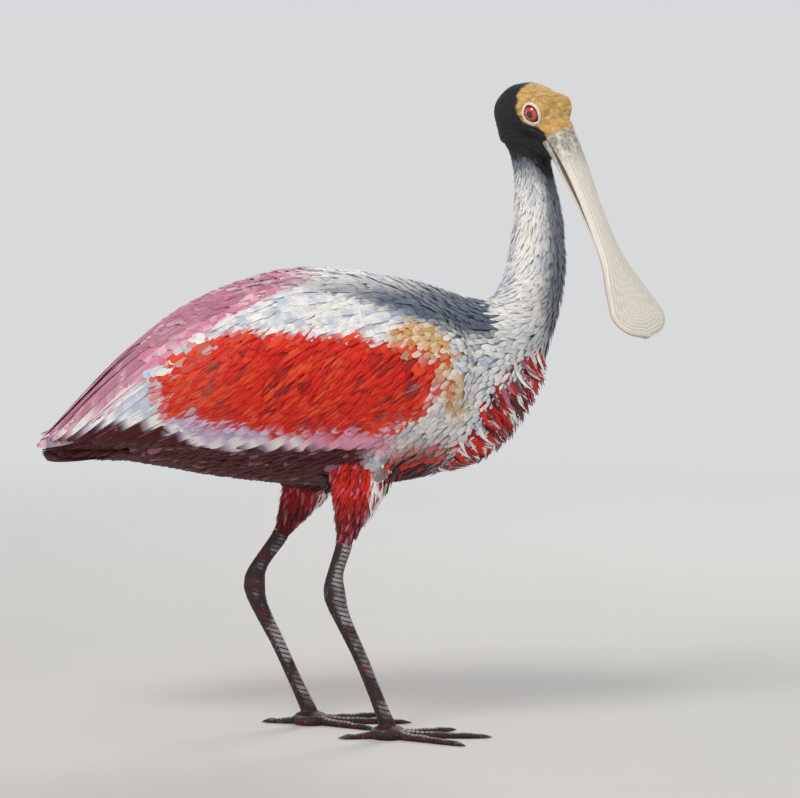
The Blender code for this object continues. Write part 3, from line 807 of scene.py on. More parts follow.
@lru_cache(maxsize=1)
def shaped_body(*depths):
    outer = remeshed(BODY_NODES, 2.4 * MM, 26, rear_filling())
    sunk, owner = coat_depths(outer, *depths)
    skin = Net(outer.corners - outer.normals * sunk[:, None], outer.faces)
    skin.owner = owner
    beyond = np.minimum(skin.corners[:, 0] - SKIN_END, 0.0)
    skin.corners[:, 0] -= beyond * 0.8
    skin.soften(6)
    return outer, skin


def body_shapes(sizes):
    """The plumage's outer surface and the skin under it, which knows each corner's solid."""
    return shaped_body(sizes.neck_depth, sizes.trunk_depth, sizes.wing_depth, sizes.thigh_depth)


def cropped_neck(depth):
    """The top of the neck as a closed solid, down to a depth below the head."""
    corners, faces, _ = solid(["neck_upper"])
    work = bmesh.new()
    points = [work.verts.new(c) for c in corners.tolist()]
    for face in faces.tolist():
        work.faces.new([points[n] for n in face])
    bmesh.ops.remove_doubles(work, verts=work.verts, dist=0.01 * MM)
    cells = [*work.verts, *work.edges, *work.faces]
    level = (0, 0, HEAD_LOW - depth)
    cut = bmesh.ops.bisect_plane(work, geom=cells, plane_co=level, plane_no=(0, 0, 1), clear_inner=True)
    rim = [part for part in cut["geom_cut"] if isinstance(part, bmesh.types.BMEdge)]
    bmesh.ops.edgeloop_fill(work, edges=rim)
    bmesh.ops.triangulate(work, faces=work.faces)
    work.verts.index_update()
    corners = np.array([corner.co[:] for corner in work.verts])
    faces = np.array([[corner.index for corner in face.verts] for face in work.faces])
    work.free()
    return corners, faces


EYE_TILT_AHEAD, EYE_TILT_UP = 0.24, 0.10  # how far the lids' plane turns from the side of the head


def eye_axes(side):
    """An eye's centre, and its directions outward, towards the bill and upward."""
    way = SIDES[side]
    outward = unit(HEAD_SIDE * way + HEAD_AHEAD * EYE_TILT_AHEAD + HEAD_UP * EYE_TILT_UP)
    ahead = along_surface(HEAD_AHEAD, outward)
    return centre_of("eye_" + side), outward, ahead, np.cross(ahead, outward) * way


def opening_reach(angle, opening):
    """The lid's opening by angle: longest towards the bill, a little flat above and below."""
    corner = 0.13 * np.clip(np.cos(angle), 0, 1) ** 5 + 0.05 * np.clip(-np.cos(angle), 0, 1) ** 5
    return opening * (1.0 + corner - 0.05 * np.abs(np.sin(angle)))


def round_eye(points, side, opening):
    """Points by an eye: outward, ahead and up of its centre, the opening's reach and the gap to it."""
    centre, outward, ahead, upward = eye_axes(side)
    rel = points - centre
    out, fore, rise = rel @ outward, rel @ ahead, rel @ upward
    reach = opening_reach(np.arctan2(rise, fore), opening)
    return outward, out, fore, rise, reach, np.hypot(fore, rise) - reach


def lid_ring(side, sizes):
    """A soft ring of skin round the eye: corners, faces and where its dark margin is."""
    centre, outward, ahead, upward = eye_axes(side)
    steps, around = 96, 14
    angle = turns(steps)[:, None]
    turn = turns(around)[None, :]
    width = sizes.lid_width * (1.0 + 0.38 * np.cos(angle - 1.0)) * (1.0 + 0.07 * np.sin(angle * 37.0 + 0.7))
    reach = opening_reach(angle, sizes.opening)
    ball = np.sqrt(np.maximum(EYE_RADIUS**2 - reach**2, 0.0))
    height = ball + (width * 0.62 + 0.15 * MM * np.sin(angle * 3.0 + 1.0)) * np.sin(turn)
    radius = reach + width - width * np.cos(turn)
    places = (
        centre + outward * height[..., None]
        + ahead * (radius * np.cos(angle))[..., None]
        + upward * (radius * np.sin(angle))[..., None]
    )
    faces = grid_faces(steps + 1, around) % (steps * around)  # the last row joins the first
    if side == "left":
        faces = faces[:, ::-1]
    margin = np.repeat(ease(0.45, 0.85, np.cos(turn)), steps, axis=0)
    return places.reshape(-1, 3), faces, margin.ravel()


# The skin laps over the bill's base: (distance along it, height above the horn), in mm.
MUZZLE = ((-9.0, -0.5), (-3.0, 1.0), (1.0, 1.1), (3.5, 0.6), (5.5, -0.8), (7.0, -3.0))
# The throat runs out under the bill: (distance along it, bottom, half-width).
THROAT = (
    (-12, -44, 11), (-4, -37, 12), (3, -28, 12), (8, -22, 11), (12, -19, 9), (15, -16, 6.5),
    (19, -11.5, 3.5),
)
THROAT_TOP = -4.0
# The face bulges round each eye: (height beside its centre, radius), in mm.
ORBIT = ((-14.0, 13.5), (-7.0, 13.5), (-1.0, 12.5), (2.6, 9.6))
# The soot's upper edge: (distance ahead of the eyes, height above them), in mm.
SOOT_EDGE = ((-42, 3.5), (-22, -3.6), (-9, -8.6), (3, -9.4), (13, -1.6), (30, 2.4))


def muzzle(shape):
    """The solids of the skin round the bill's base and of the throat."""
    turn = turns(32)
    round_off = np.sign(np.sin(turn)) * np.abs(np.sin(turn)) ** 0.75

    def oval(at, low, high, wide):
        middle = shape.start + shape.ahead * at + shape.rise * (low + high) / 2
        rise = np.outer(round_off * (high - low) / 2, shape.rise)
        return middle + np.outer(wide * np.cos(turn), shape.side) + rise

    lap = []
    for at, proud in MUZZLE:
        low, high, wide = shape.size_at(at * MM)
        lap.append(oval(at * MM, low - proud * MM, high + proud * MM, wide + proud * MM))
    throat = [oval(at * MM, low * MM, THROAT_TOP * MM, wide * MM) for at, low, wide in THROAT]
    return lofted(lap), lofted(throat)


def orbit(side):
    """The solid that carries the skin round an eye."""
    centre, outward, ahead, upward = eye_axes(side)
    turn = turns(40)
    circle = np.outer(np.cos(turn), ahead) + np.outer(np.sin(turn), upward)
    return lofted([centre + outward * height * MM + circle * radius * MM for height, radius in ORBIT])


def soot_level(points):
    """Height of each point above the soot's upper edge, in millimetres."""
    rel = (points - EYE_MIDDLE) / MM
    return rel @ HEAD_UP - np.interp(rel @ HEAD_AHEAD, *np.array(SOOT_EDGE).T)


# Folds round the lid: (distance from the opening, height, width), in mm.
LID_FOLDS = ((2.7, -0.50, 0.7), (4.1, 0.35, 0.9), (5.7, -0.28, 0.8), (7.2, 0.22, 0.9))


def sink_neck(net, away):
    """Sinks the neck's part of the head's skin under the feathers, and returns where."""
    forward = unit(HEAD_AHEAD * (1.0, 1.0, 0.0))
    from_neck = distances(tree_of_nodes("neck_upper"), net.corners)
    on_throat = ease_mm(1.5, 5, from_neck) * ease_mm(4, 10, (net.corners - NECK_LINE[-1]) @ forward)
    on_neck = ease_mm(8, 3, net.corners[:, 2] - HEAD_LOW) * (1 - 0.8 * on_throat)
    deep = 0.9 * ease_mm(0.0, 3, away) + 4.6 * ease_mm(2, 20, away) + 5.0 * ease_mm(11, 19, away)
    # The lowest rim sinks level, so that it isn't drawn up through the feathers.
    level_only = ease_mm(15, 20, HEAD_LOW - net.corners[:, 2])
    inward = net.normals * np.stack([deep, deep, deep * (1 - level_only)], axis=1)
    net.corners = net.corners - inward * (on_neck * MM)[:, None]
    net.refresh()
    return on_neck


@lru_cache(maxsize=1)
def shaped_head(opening, crease):
    """The bare head with sockets, brows, ears and creased skin, and the marks to paint it by."""
    shape = BillShape()
    extras = [cropped_neck(26 * MM), *muzzle(shape), *(orbit(side) for side in SIDES)]
    net = remeshed(["head"], 0.62 * MM, 26, *extras)
    away = distances(HEAD_TREE, net.corners)
    rel = net.corners - shape.start
    along, level = rel @ shape.ahead, rel @ shape.rise
    on_neck = sink_neck(net, away)
    points = net.corners
    lid, mouth, heights = (np.zeros(len(points)) for _ in range(3))
    moved = np.zeros_like(points)
    for side in SIDES:
        outward, out, fore, rise, reach, gap = round_eye(points, side, opening)
        facing = ease_mm(2, 6, (points - EYE_MIDDLE) @ HEAD_SIDE * SIDES[side])
        # The face rises or sinks to the lid's level all round the eye.
        level_of_lid = np.sqrt(EYE_RADIUS**2 - reach**2) - 0.1 * MM
        near = facing * (1.0 - ease_mm(1.4, 6.5, gap)) * ease_mm(-1.5, 0.5, gap)
        moved += outward * ((level_of_lid - out) * near)[:, None]
        # A groove round the lid, soft folds, a brow above, and a hollow before the eye.
        for at, depth, wide in LID_FOLDS:
            heights += facing * depth * MM * bell_mm(gap, at, wide)
        brow = bell_mm(gap, 4.6, 2.2) * ease(0.1, 0.9, np.sin(np.arctan2(rise, fore)))
        heights += facing * 0.9 * MM * brow
        heights -= facing * 0.8 * MM * bell_mm(fore, 13, 4.5) * bell_mm(rise, 3, 4)
        # The corner of the mouth runs back and down from the bill's base.
        line = np.abs(rise + 7 * MM - (fore - 9 * MM) * 0.62)
        run = ease_mm(5, 9, fore) * (1.0 - ease_mm(21, 24, fore))
        heights -= facing * 1.1 * MM * run * bell_mm(line, 0.0, 0.9)
        heights += facing * 0.5 * MM * run * bell_mm(line, 2.2, 1.0)
        mouth += facing * run * bell_mm(line, 0.0, 2.4)
        ear = np.hypot(fore + 16 * MM, rise + 7 * MM)
        heights -= facing * 1.2 * MM * bell_mm(ear, 0.0, 2.0)
        heights += facing * 0.4 * MM * bell_mm(ear, 3.6, 1.1)
        lid += facing * (1.0 - ease_mm(1.6, 3.6, gap))
    lid = np.clip(lid, 0, 1)
    folds = creases(points, crease)
    heights += folds * (1.0 - lid * 0.85)
    net.corners = points + moved
    net.refresh()
    net.push(heights * (1.0 - ease_mm(2, 8, away) * on_neck))
    for side in SIDES:
        outward, out, fore, rise, _, gap = round_eye(net.corners, side, opening)
        ball = np.sqrt(np.maximum(EYE_RADIUS**2 - np.hypot(fore, rise) ** 2, 0.0))
        inside = (1.0 - ease_mm(0.2, 1.1, gap)) * (out > 0)
        wanted = np.minimum(out, ball - 1.0 * MM)
        net.corners = net.corners + outward * ((wanted - out) * inside)[:, None]
    net.refresh()
    gape = ease_mm(-3, 3, along) * bell_mm(level, 0.0, 1.6)
    mouth = np.clip(mouth + gape, 0, 1)
    return net, {"lid": lid, "mouth": mouth, "soot": soot_level(net.corners), "fold": -folds / crease}


def creases(points, deepest):
    """Fine folds and pebbles of bare skin. The folds run across the nape and throat."""
    wide = points - np.outer(points @ HEAD_SIDE, HEAD_SIDE) * 0.55
    folds = 1.0 - np.abs(grain(wide, 4.6 * MM)) * 2.4
    small = 1.0 - np.abs(grain(points, 2.1 * MM, 7.0)) * 2.2
    pebbles = grain(points, 1.15 * MM, 3.0)
    patchy = 0.55 + 0.45 * grain(points, 11.0 * MM, 1.0)
    depth = 0.60 * np.clip(folds, 0, 1) ** 2 + 0.45 * np.clip(small, 0, 1) ** 2 * patchy
    return -deepest * (depth - 0.40 * pebbles)


def leg_nodes(side):
    """The solids of one bare leg and foot, without its claws."""
    names = [part + "_" + side for part in ("shank", "tarsus", "foot")]
    return names + [f"toe_{side}_{toe}" for toe in TOES] + [f"web_{side}_{web}" for web in WEBS]


PLATE_PITCH = 3.6 * MM


def shaped_legs():
    """The scaled legs and feet, how deep each corner is in a groove, and where plates are."""
    net = remeshed(leg_nodes("left") + leg_nodes("right"), 0.75 * MM, 8)
    floor = net.corners[:, 2] < 0.9 * MM
    points = net.corners
    seeds, _ = scatter(net, 1.0, 2.1 * MM, np.random.default_rng(5))
    cells = point_tree(seeds)
    found = [cells.find_n(p, 2) for p in points.tolist()]
    between = np.array([hits[1][2] - hits[0][2] for hits in found])
    groove = 1.0 - ease_mm(0.0, 0.8, between)
    # Broad plates cross the front of the shanks and the tops of the toes.
    front = ease(-0.35, 0.05, net.normals[:, 0]) * ease_mm(14, 22, points[:, 2])
    front = np.maximum(front, ease(0.55, 0.8, net.normals[:, 2]) * (1.0 - ease_mm(7, 9, points[:, 2])))
    feet = [np.linalg.norm((points - centre_of("foot_" + side))[:, :2], axis=1) for side in SIDES]
    reach = np.where(points[:, 2] > 12 * MM, points[:, 2] + points[:, 0] * 0.3, np.minimum(*feet))
    plates = ease(0.72, 0.95, np.abs((reach / PLATE_PITCH) % 1.0 - 0.5) * 2.0)
    groove = blended(groove, plates, front)
    heights = -0.34 * MM * groove + 0.10 * MM * grain(points, 1.3 * MM)
    heights[floor] = 0.0
    net.push(heights)
    net.corners[:, 2] = np.maximum(net.corners[:, 2], 0.0)
    net.corners[floor & (net.normals[:, 2] < -0.5), 2] = 0.0
    net.refresh()
    return net, groove, front


def skin_finish(settings):
    """Skin: the coat's markings darkened as painted shade, buff and soot on the head, and dark scales on the
    legs.
    """
    finish = Finish("skin", Specular_IOR_Level=0.45)
    marks = Markings(finish, settings.plumage)
    mix, ramp, mark, c, leg = finish.mix, finish.ramp, finish.attribute, settings.head, settings.leg

    def spots(scale, detail):
        return finish.noise(marks.place, scale, detail)

    feathered = mix(ramp(marks.neck, 0.45, 0.60), marks.plumage(), marks.neck_coat())
    # Under the feathers the skin takes the coat's markings, darkened as painted shade.
    under = finish.node("HueSaturation", inputs={"Value": 0.74, "Color": feathered})
    region = mark("region")  # 0 under feathers, 1 on the head, 2 on the legs
    mottle = spots(240.0, 4.0)
    fold = mark("fold")
    uneven = (spots(150.0, 4.0) - 0.5) * 6.0
    soot = ramp(mark("soot") + uneven, 1.6, -1.4)
    buff = mix(ramp(mottle, 0.35, 0.75) * 0.55, c.buff, c.pale)
    # Painted shade darkens the buff in the creases, and painted highlight lightens raised skin.
    buff = mix(ramp(fold, 0.15, 0.75) * 0.45, buff, paint(128, 88, 44))
    buff = mix(ramp(fold, -0.05, -0.35) * 0.35, buff, c.pale)
    buff = mix(mark("mouth") * 0.8, buff, c.gape)
    blackish = mix(ramp(mottle, 0.5, 0.8) * 0.4, c.soot, (0.045, 0.045, 0.055))
    # Painted highlight greys the raised parts of the soot skin.
    blackish = mix(ramp(fold, -0.05, -0.40) * 0.5, blackish, paint(66, 66, 72))
    face = mix(soot, buff, blackish)
    lid = mark("lid")
    # The lid's near-white ring is painted highlight on the lid skin.
    face = mix(ramp(lid, 0.15, 0.75) * 0.95, face, c.lid)
    groove = mark("groove")
    hide = mix(ramp(spots(70.0, 2.0), 0.45, 0.7), leg.hide, leg.wine)
    raised_scale = 1.0 - ramp(groove, 0.02, 0.35)
    # Pale tone on raised scales and in bands across the front plates is painted highlight, with some wear on
    # the scales.
    wear_and_highlight = ramp(spots(160.0, 3.0), 0.56, 0.74) * raised_scale * 0.28
    plate = mark("plate") * ramp(spots(45.0, 2.0), 0.40, 0.60)
    wear_and_highlight = wear_and_highlight + plate * raised_scale * 0.80
    hide = mix(wear_and_highlight, hide, leg.wear_and_highlight)
    hide = mix(ramp(groove, 0.25, 0.8) * 0.85, hide, (0.006, 0.004, 0.004))
    shade = mix(ramp(region, 0.4, 0.6), under, face)
    finish.feed("Base Color", mix(ramp(region, 1.4, 1.6), shade, hide))
    pores = {"Vector": marks.place, "Scale": 1500.0}
    fine = finish.node("TexVoronoi", {"feature": "DISTANCE_TO_EDGE"}, pores)
    height = ramp(fine, 0.0, 0.18) + spots(900.0, 3.0) * 0.6
    finish.feed("Normal", finish.bump(height, 0.10 * MM, 0.7))
    finish.feed("Roughness", 0.62 - ramp(region, 1.4, 1.6) * 0.14 - soot * 0.06 + mottle * 0.1)
    return finish.material


# ---- feathers


def thinned(points, spacing):
    """Numbers of the points left when none is too near to an earlier one."""
    tree = point_tree(points)
    alive = np.ones(len(points), bool)
    for n, point in enumerate(points.tolist()):
        if alive[n]:
            for _, other, _ in tree.find_range(point, spacing):
                if other > n:
                    alive[other] = False
    return np.flatnonzero(alive)


TRIES = 5.0  # how many places are tried for each square of the spacing


def scatter(net, wanted, spacing, draws):
    """Even random places on the wanted faces of a net, and the numbers of those faces."""
    weights = net.areas * wanted
    count = int(TRIES * weights.sum() / spacing**2)
    chosen = draws.choice(len(weights), count, p=weights / weights.sum())
    across, along = draws.random((2, count, 1))
    a, b, c, d = (net.corners[net.faces[chosen, n]] for n in range(4))
    points = blended(blended(a, b, across), blended(d, c, across), along)
    kept = thinned(points, spacing)
    return points[kept], chosen[kept]


OUTLINES = {  # width at the root, where it is widest, and how the tip closes: power and bluntness
    "contour": (0.15, 0.60, 2.2, 0.5),
    "lance": (0.15, 0.42, 1.6, 0.9),
    "quill": (0.30, 0.30, 5.0, 0.5),
    "curl": (0.25, 0.35, 1.4, 1.0),
}


def outline_width(name, share):
    """Half-width of a feather along its length, as a share of its widest."""
    root, peak, power, blunt = OUTLINES[name]
    rising = root + (1 - root) * np.sin(np.clip(share / peak, 0, 1) * math.pi / 2)
    closing = np.clip((share - peak) / (1 - peak), 0, 1) ** power
    return rising * (1 - closing) ** blunt


def finer_tips(lines, share):
    """Lines whose even stations move to the given shares of the length."""
    last = lines.shape[1] - 1
    low = np.minimum((share * last).astype(int), last - 1)
    part = (share * last - low)[None, :, None]
    return blended(lines[:, low], lines[:, low + 1], part)


def wrap_round(start, axis, low, high):
    """An unwrap of the skin round a straight axis: angle across, distance upward."""
    start, axis = np.array(start, float), np.array(axis, float)
    first = unit(np.cross(axis, UP if axis[2] == 0.0 else (1.0, 0.0, 0.0)))
    second = np.cross(axis, first)

    def wrap(points):
        rel = points - start
        angle = np.arctan2(rel @ first, rel @ second) / (2 * math.pi) + 0.5
        level = (rel @ axis - low) / (high - low)
        return np.clip(np.stack([angle, level], axis=1), 0.0, 1.0) * 0.98 + 0.01

    return wrap


PATCH = 0.003  # width of a feather's patch on the unwrap
VANE_ACROSS = np.array([-1.0, 0.0, 1.0, 0.0])  # left edge, top, right edge and underside
TIPWARD = 1.5  # how much closer a feather's stations stand towards its tip
BARB_SWEEP = 0.35  # how far ahead its edges reach, as a share of its half-width
SOUND_EDGE = 0.7  # share of the edge without a notch


class Coat:
    """Feathers that together become one piece."""

    def __init__(self, name, wrap, seed):
        self.name, self.wrap = name, wrap
        self.draws = np.random.default_rng(seed)
        self.parts, self.count = [], 0

    def add(self, lines, ups, half_widths, form, thickness, camber, notch=0.35, roll=6.0, front=None,
            tilt=0.0, whole=True):
        """Feathers along centre lines (feather, station, XYZ) with their upward directions.

        A whole feather is painted by one place on it, and any other by all of its places.
        """
        draws = self.draws
        number, stations = lines.shape[:2]
        share = 1.0 - (1.0 - np.linspace(0, 1, stations)) ** TIPWARD
        lines, ups = finer_tips(lines, share), finer_tips(ups, share)
        profile = outline_width(form, share)
        ahead = unit(np.gradient(lines, axis=1))
        side = unit(np.cross(ahead, ups))
        up = np.cross(side, ahead)
        lean = np.radians(draws.normal(tilt, roll, (number, 1, 1)))
        side, up = side * np.cos(lean) + up * np.sin(lean), up * np.cos(lean) - side * np.sin(lean)
        widths = half_widths[:, None] * profile[None, :]
        edges = []
        for way in (-1.0, 1.0):
            bite = notch * draws.random((number, stations)) * (draws.random((number, stations)) > SOUND_EDGE)
            bite += notch * 0.25 * draws.random((number, stations))
            wide = (widths * (1.0 - bite * (share > 0.3)))[..., None]
            edges.append(lines + side * (way * wide) + ahead * (BARB_SWEEP * wide) - up * (camber * wide))
        half = (thickness * (1.0 - 0.7 * share))[None, :, None] / 2
        rings = np.stack([edges[0], lines + up * half, edges[1], lines - up * half], axis=2)[:, 1:-1]
        inner = stations - 2
        places = np.concatenate([lines[:, :1], rings.reshape(number, inner * 4, 3), lines[:, -1:]], axis=1)
        size = places.shape[1]
        loops, totals, local = feather_faces(inner)
        first = self.count + np.arange(number)[:, None] * size
        self.count += number * size
        across = np.concatenate([[0.0], np.tile(VANE_ACROSS, inner), [0.0]])
        along = np.concatenate([[0.0], np.repeat(share[1:-1], 4), [1.0]])
        shown = [stations * 6 // 10] * size if whole else [1, *np.repeat(range(1, inner + 1), 4), inner]
        shown = lines[:, shown].reshape(-1, 3)
        self.parts.append({
            "corners": places.reshape(-1, 3), "loops": (loops + first).ravel(),
            "totals": np.tile(totals, number),
            "wraps": (self.wrap(lines[:, 0])[:, None] + local * PATCH).reshape(-1, 2),
            "vane": np.tile(np.stack([along, across, np.zeros(size)], axis=1), (number, 1)),
            "place": shown, "edge": heights_on_body(shown), "chance": np.repeat(draws.random(number), size),
            "front": np.repeat(np.zeros(number) if front is None else front, size),
        })

    def roots(self, net, wanted, spacing, least=0.85, most=1.15, turn=5.0):
        """Even random roots on some faces of a net, with shares of the length and yaws."""
        roots, _ = scatter(net, wanted, spacing, self.draws)
        shares = self.draws.uniform(least, most, len(roots))
        return roots, shares, self.draws.normal(0.0, turn, len(roots))

    def laid(self, net, roots, lengths, stations, lie, yaw, root, tip, spread, bend=0.9, keep=0.4):
        """Lines over a net that rise from root to tip, each a little differently."""
        lines, ups = lay(net, roots, lengths, stations, lie, yaw, keep)
        heights = self.draws.normal(0.0, spread, (len(lines), 1))
        return raised(lines, ups, root, tip, bend, heights), ups

    def piece(self, finish, slot, *replaced):
        marks = {key: np.concatenate([part[key] for part in self.parts]) for key in self.parts[0]}
        shape = [marks.pop(key) for key in ("corners", "loops", "totals")]
        new_piece(self.name, shape, finish, replaced, marks, marks.pop("wraps"), math.radians(70))


def feather_faces(inner):
    """Corner numbers, face sizes and unwrap corners of a feather with rings of four points."""
    loops, totals, local = [], [], []
    for n in range(4):
        after, left, middle, right = (n + 1) % 4, n / 4, (n + 0.5) / 4, (n + 1) / 4
        for level in range(inner + 1):
            low, high = 4 * level - 3, 4 * level + 1
            near, far = level / (inner + 1), (level + 1) / (inner + 1)
            face = [(low + n, left, near), (low + after, right, near)]
            face += [(high + after, right, far), (high + n, left, far)]
            if level == 0:
                face = [(0, middle, 0.0), *face[2:]]
            elif level == inner:
                face = [*face[:2], (high, middle, 1.0)]
            loops += [corner[0] for corner in face]
            local += [corner[1:] for corner in face]
            totals.append(len(face))
    return np.array(loops), np.array(totals), np.array(local)


def lay(net, roots, lengths, stations, lie, yaw, keep=0.4, hook=0.0):
    """Lines over a net from their roots along its lie, with the net's normals on them.

    The yaw turns a whole line, and the hook turns its tip, both in degrees.
    """
    points, normals = net.snap(roots)

    def wanted(share):
        turn = np.radians(yaw + hook * share**2)[:, None]
        straight = along_surface(lie(points), normals)
        return straight * np.cos(turn) + np.cross(normals, straight) * np.sin(turn)

    heading = wanted(0.0)
    lines, ups = [points], [normals]
    for step in range(1, stations):
        points, normals = net.snap(points + heading * (lengths / (stations - 1))[:, None])
        heading = along_surface(heading * keep + wanted(step / (stations - 1)) * (1 - keep), normals)
        lines.append(points)
        ups.append(normals)
    return np.stack(lines, axis=1), np.stack(ups, axis=1)


def raised(lines, ups, root, tip, bend, uneven=0.0):
    """Lines lifted off the net, from a height at the root to one at the tip."""
    share = np.linspace(0, 1, lines.shape[1])
    heights = root + (np.asarray(tip)[..., None] - root) * share**bend + uneven * share
    return lines + ups * np.broadcast_to(heights, lines.shape[:2])[..., None]


def neck_way(points):
    """Down the neck's own line."""
    steps = np.diff(NECK_LINE, axis=0)
    middles = (NECK_LINE[1:, 2] + NECK_LINE[:-1, 2]) / 2
    slope = np.stack([np.interp(points[:, 2], middles, steps[:, n]) for n in range(3)], axis=1)
    return -unit(slope)


def body_lie(points):
    """Down the neck, then back and a little down along the body."""
    neck = ease(0.325, 0.390, points[:, 2])[:, None] * ease(0.075, 0.115, points[:, 0])[:, None]
    return unit(blended((-1.0, 0.0, -0.30), neck_way(points), neck))


def backward(drop):
    """Directions that run back and fall by some degrees."""
    drop = np.radians(drop)
    return np.stack([-np.cos(drop), np.zeros(len(drop)), -np.sin(drop)], axis=1)


def wing_lie(points):
    """Steeply down and back over the scarlet plumes of the wing, and flatter elsewhere."""
    scarlet = np.exp(-(((points[:, 0] + 0.028) / 0.10) ** 2) - (((points[:, 2] - 0.296) / 0.036) ** 2))
    return backward(24.0 + 26.0 * scarlet - 12.0 * ease(0.25, 0.225, points[:, 2]))


def scapular_lie(points):
    return backward(30.0 + 10.0 * ease(0.05, -0.08, points[:, 0]))


def steady(ahead):
    """A lie that is the same everywhere: some way ahead for one way down."""
    return lambda points: np.tile(unit(np.array([ahead, 0.0, -1.0])), (len(points), 1))


def in_scarlet(points):
    """1 inside the scarlet patch of the wing, and 0 outside it."""
    x, z = points[:, 0] / MM + 32.0, points[:, 2] / MM - 283.0
    return 1.0 - ease(0.85, 1.15, np.hypot((x - 0.45 * z) / 108.0, z / 37.0))


def front_share(points):
    """-1 at the back of the neck to 1 at its front."""
    middle = np.stack([np.interp(points[:, 2], NECK_LINE[:, 2], NECK_LINE[:, n]) for n in range(2)], axis=1)
    rel = points[:, :2] - middle
    return rel[:, 0] / np.maximum(np.linalg.norm(rel, axis=1), 1e-6)


def covert_ground(points):
    """1 where small coverts grow: above the greater coverts, and not over the rear quills."""
    x, z = points[:, 0] / MM, points[:, 2] / MM
    low = 258.0 - np.clip(x - 20.0, 0, 80) * 0.55
    return ((z > low) & (x > -112.0 - (z - 260.0) * 0.45)).astype(float)


def plume_ground(points, sizes):
    """1 where the loose feathers of the breast grow."""
    reach = distances(tree_of_nodes("breast_plume"), points)
    low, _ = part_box("breast_plume")
    return ((reach < sizes.trunk_depth + 19 * MM) & (points[:, 2] > low[2] + 5 * MM)).astype(float)


QUILL_ROWS = (
    # view, count, first and last root, first and last tip, half-width, depth, first and last sag, in mm
    ("side", 8, (-80, 246), (-110, 258), (-200, 225), (-245, 227), 6.5, 3.6, (2, 2)),  # primaries
    ("side", 19, (62, 258), (-118, 262), (14, 225), (-206, 228), 8.0, 3.1, (2, 2)),  # secondaries
    ("side", 20, (74, 276), (-112, 290), (34, 240), (-172, 244), 7.5, 2.3, (2, 2)),  # greater coverts
    ("side", 22, (-74, 286), (-106, 357), (-190, 230), (-241, 237), 7.5, 1.8, (3, 12)),  # tertials
    ("top", 8, (-96, 40), (-106, 3), (-206, 12), (-242, 4), 8.0, 1.6, (0, 0)),  # tertials over the back
    ("top", 7, (-64, 34), (-70, 3), (-166, 22), (-200, 3), 8.5, 1.2, (0, 0)),  # long feathers of the rump
)


def quill_lines(net, view, side, roots, tips, stations, sag):
    """Lines over a wing between points seen from the side, as X and Z, or from above, as X and off-centre.

    Past the end of the net a line runs on beside the nearest points of the net.
    """
    share = np.linspace(0, 1, stations)[None, :, None]
    flat = blended(roots[:, None, :], tips[:, None, :], share)
    flat[..., 1] += sag[:, None] * np.sin(math.pi * share[..., 0])
    x, level, flank = flat[..., 0], flat[..., 1], np.full(flat.shape[:2], SIDES[side])
    if view == "side":
        starts, way, limit = [x, MIDDLE_Y + 0.2 * flank, level], (0.0, -SIDES[side], 0.0), 0.2
    else:
        starts, way, limit = [x, MIDDLE_Y + level * flank, np.full_like(x, 0.45)], (0.0, 0.0, -1.0), 0.25
    starts, along_ray = np.stack(starts, axis=2), np.abs(np.array(way))
    places, ups = np.empty_like(starts), np.empty_like(starts)
    net.snap(np.zeros((1, 3)))
    for row, column in np.ndindex(starts.shape[:2]):
        start = starts[row, column]
        hit, _, face, reach = net.tree.ray_cast(Vector(start), Vector(way))
        if hit is None or reach > limit:
            near = start * (1 - along_ray) + places[row, column - 1] * along_ray
            hit, _, face, _ = net.tree.find_nearest(Vector(near))
        places[row, column] = (start[0], hit[1], hit[2])
        ups[row, column] = net.face_normals[face]
    return places, ups


def coat_basis(context, name, marking, barbs):
    """The coat's sizes, the skin under it and a finish for its feathers."""
    settings = context.scene.spoonbill
    skin = body_shapes(settings.coat)[1]
    return settings.coat, skin, feather_finish(name, settings.plumage, marking, barbs)


class Undoable:
    """What the operators share."""

    bl_options = {"REGISTER", "UNDO"}


class SPOONBILL_OT_neck(Undoable, Operator):
    """Cover the neck in small narrow feathers"""

    bl_idname = "spoonbill.neck"
    bl_label = "Neck feathers"

    def execute(self, context):
        sizes, skin, finish = coat_basis(context, "neck_feather", "neck_coat", 170.0)
        face = context.scene.spoonbill.face
        head, _ = shaped_head(face.opening, face.crease)
        outside = distances(HEAD_TREE, skin.corners[skin.faces[:, 0]]) > 0.4 * MM
        level = head.corners[head.faces[:, 0], 2] - HEAD_LOW
        for n, (node, grown) in enumerate((("neck_upper", 1.0), ("neck_lower", 1.35))):
            wrap = wrap_round(NECK_LINE[len(NECK_LINE) // 2], UP, -0.11, 0.12)
            coat = Coat(node + "_feathers", wrap, sizes.seed + n)
            grounds = [(skin, skin.faces_in(node) * outside, 1.0)]
            if node == "neck_upper":  # some hide the bare skin's lower edge
                grounds.append((head, (level > -6 * MM) * (level < 9 * MM), 0.85))
            for net, mine, dense in grounds:
                roots, shares, yaw = coat.roots(net, mine, sizes.neck_spacing * grown * dense)
                away = ease_mm(-12, 20, HEAD_LOW - roots[:, 2])
                lengths = (4.6 + 6.4 * away) * MM * grown * shares
                tips = sizes.neck_depth * (0.20 + 0.60 * away) * grown
                lines, ups = coat.laid(net, roots, lengths, 9, body_lie, yaw, -0.3 * MM, tips, 0.25 * MM)
                widths = lengths * coat.draws.uniform(0.13, 0.17, len(roots))
                front = front_share(lines[:, 5])
                coat.add(lines, ups, widths, "lance", 0.3 * MM, 0.25, roll=4.0, front=front)
            coat.piece(finish, "neck_plumage")
        return {"FINISHED"}


TAIL_ROOT = -0.205  # no body feathers are rooted behind this
BACK_END = -0.115  # behind this the back lies under the long feathers of the wings


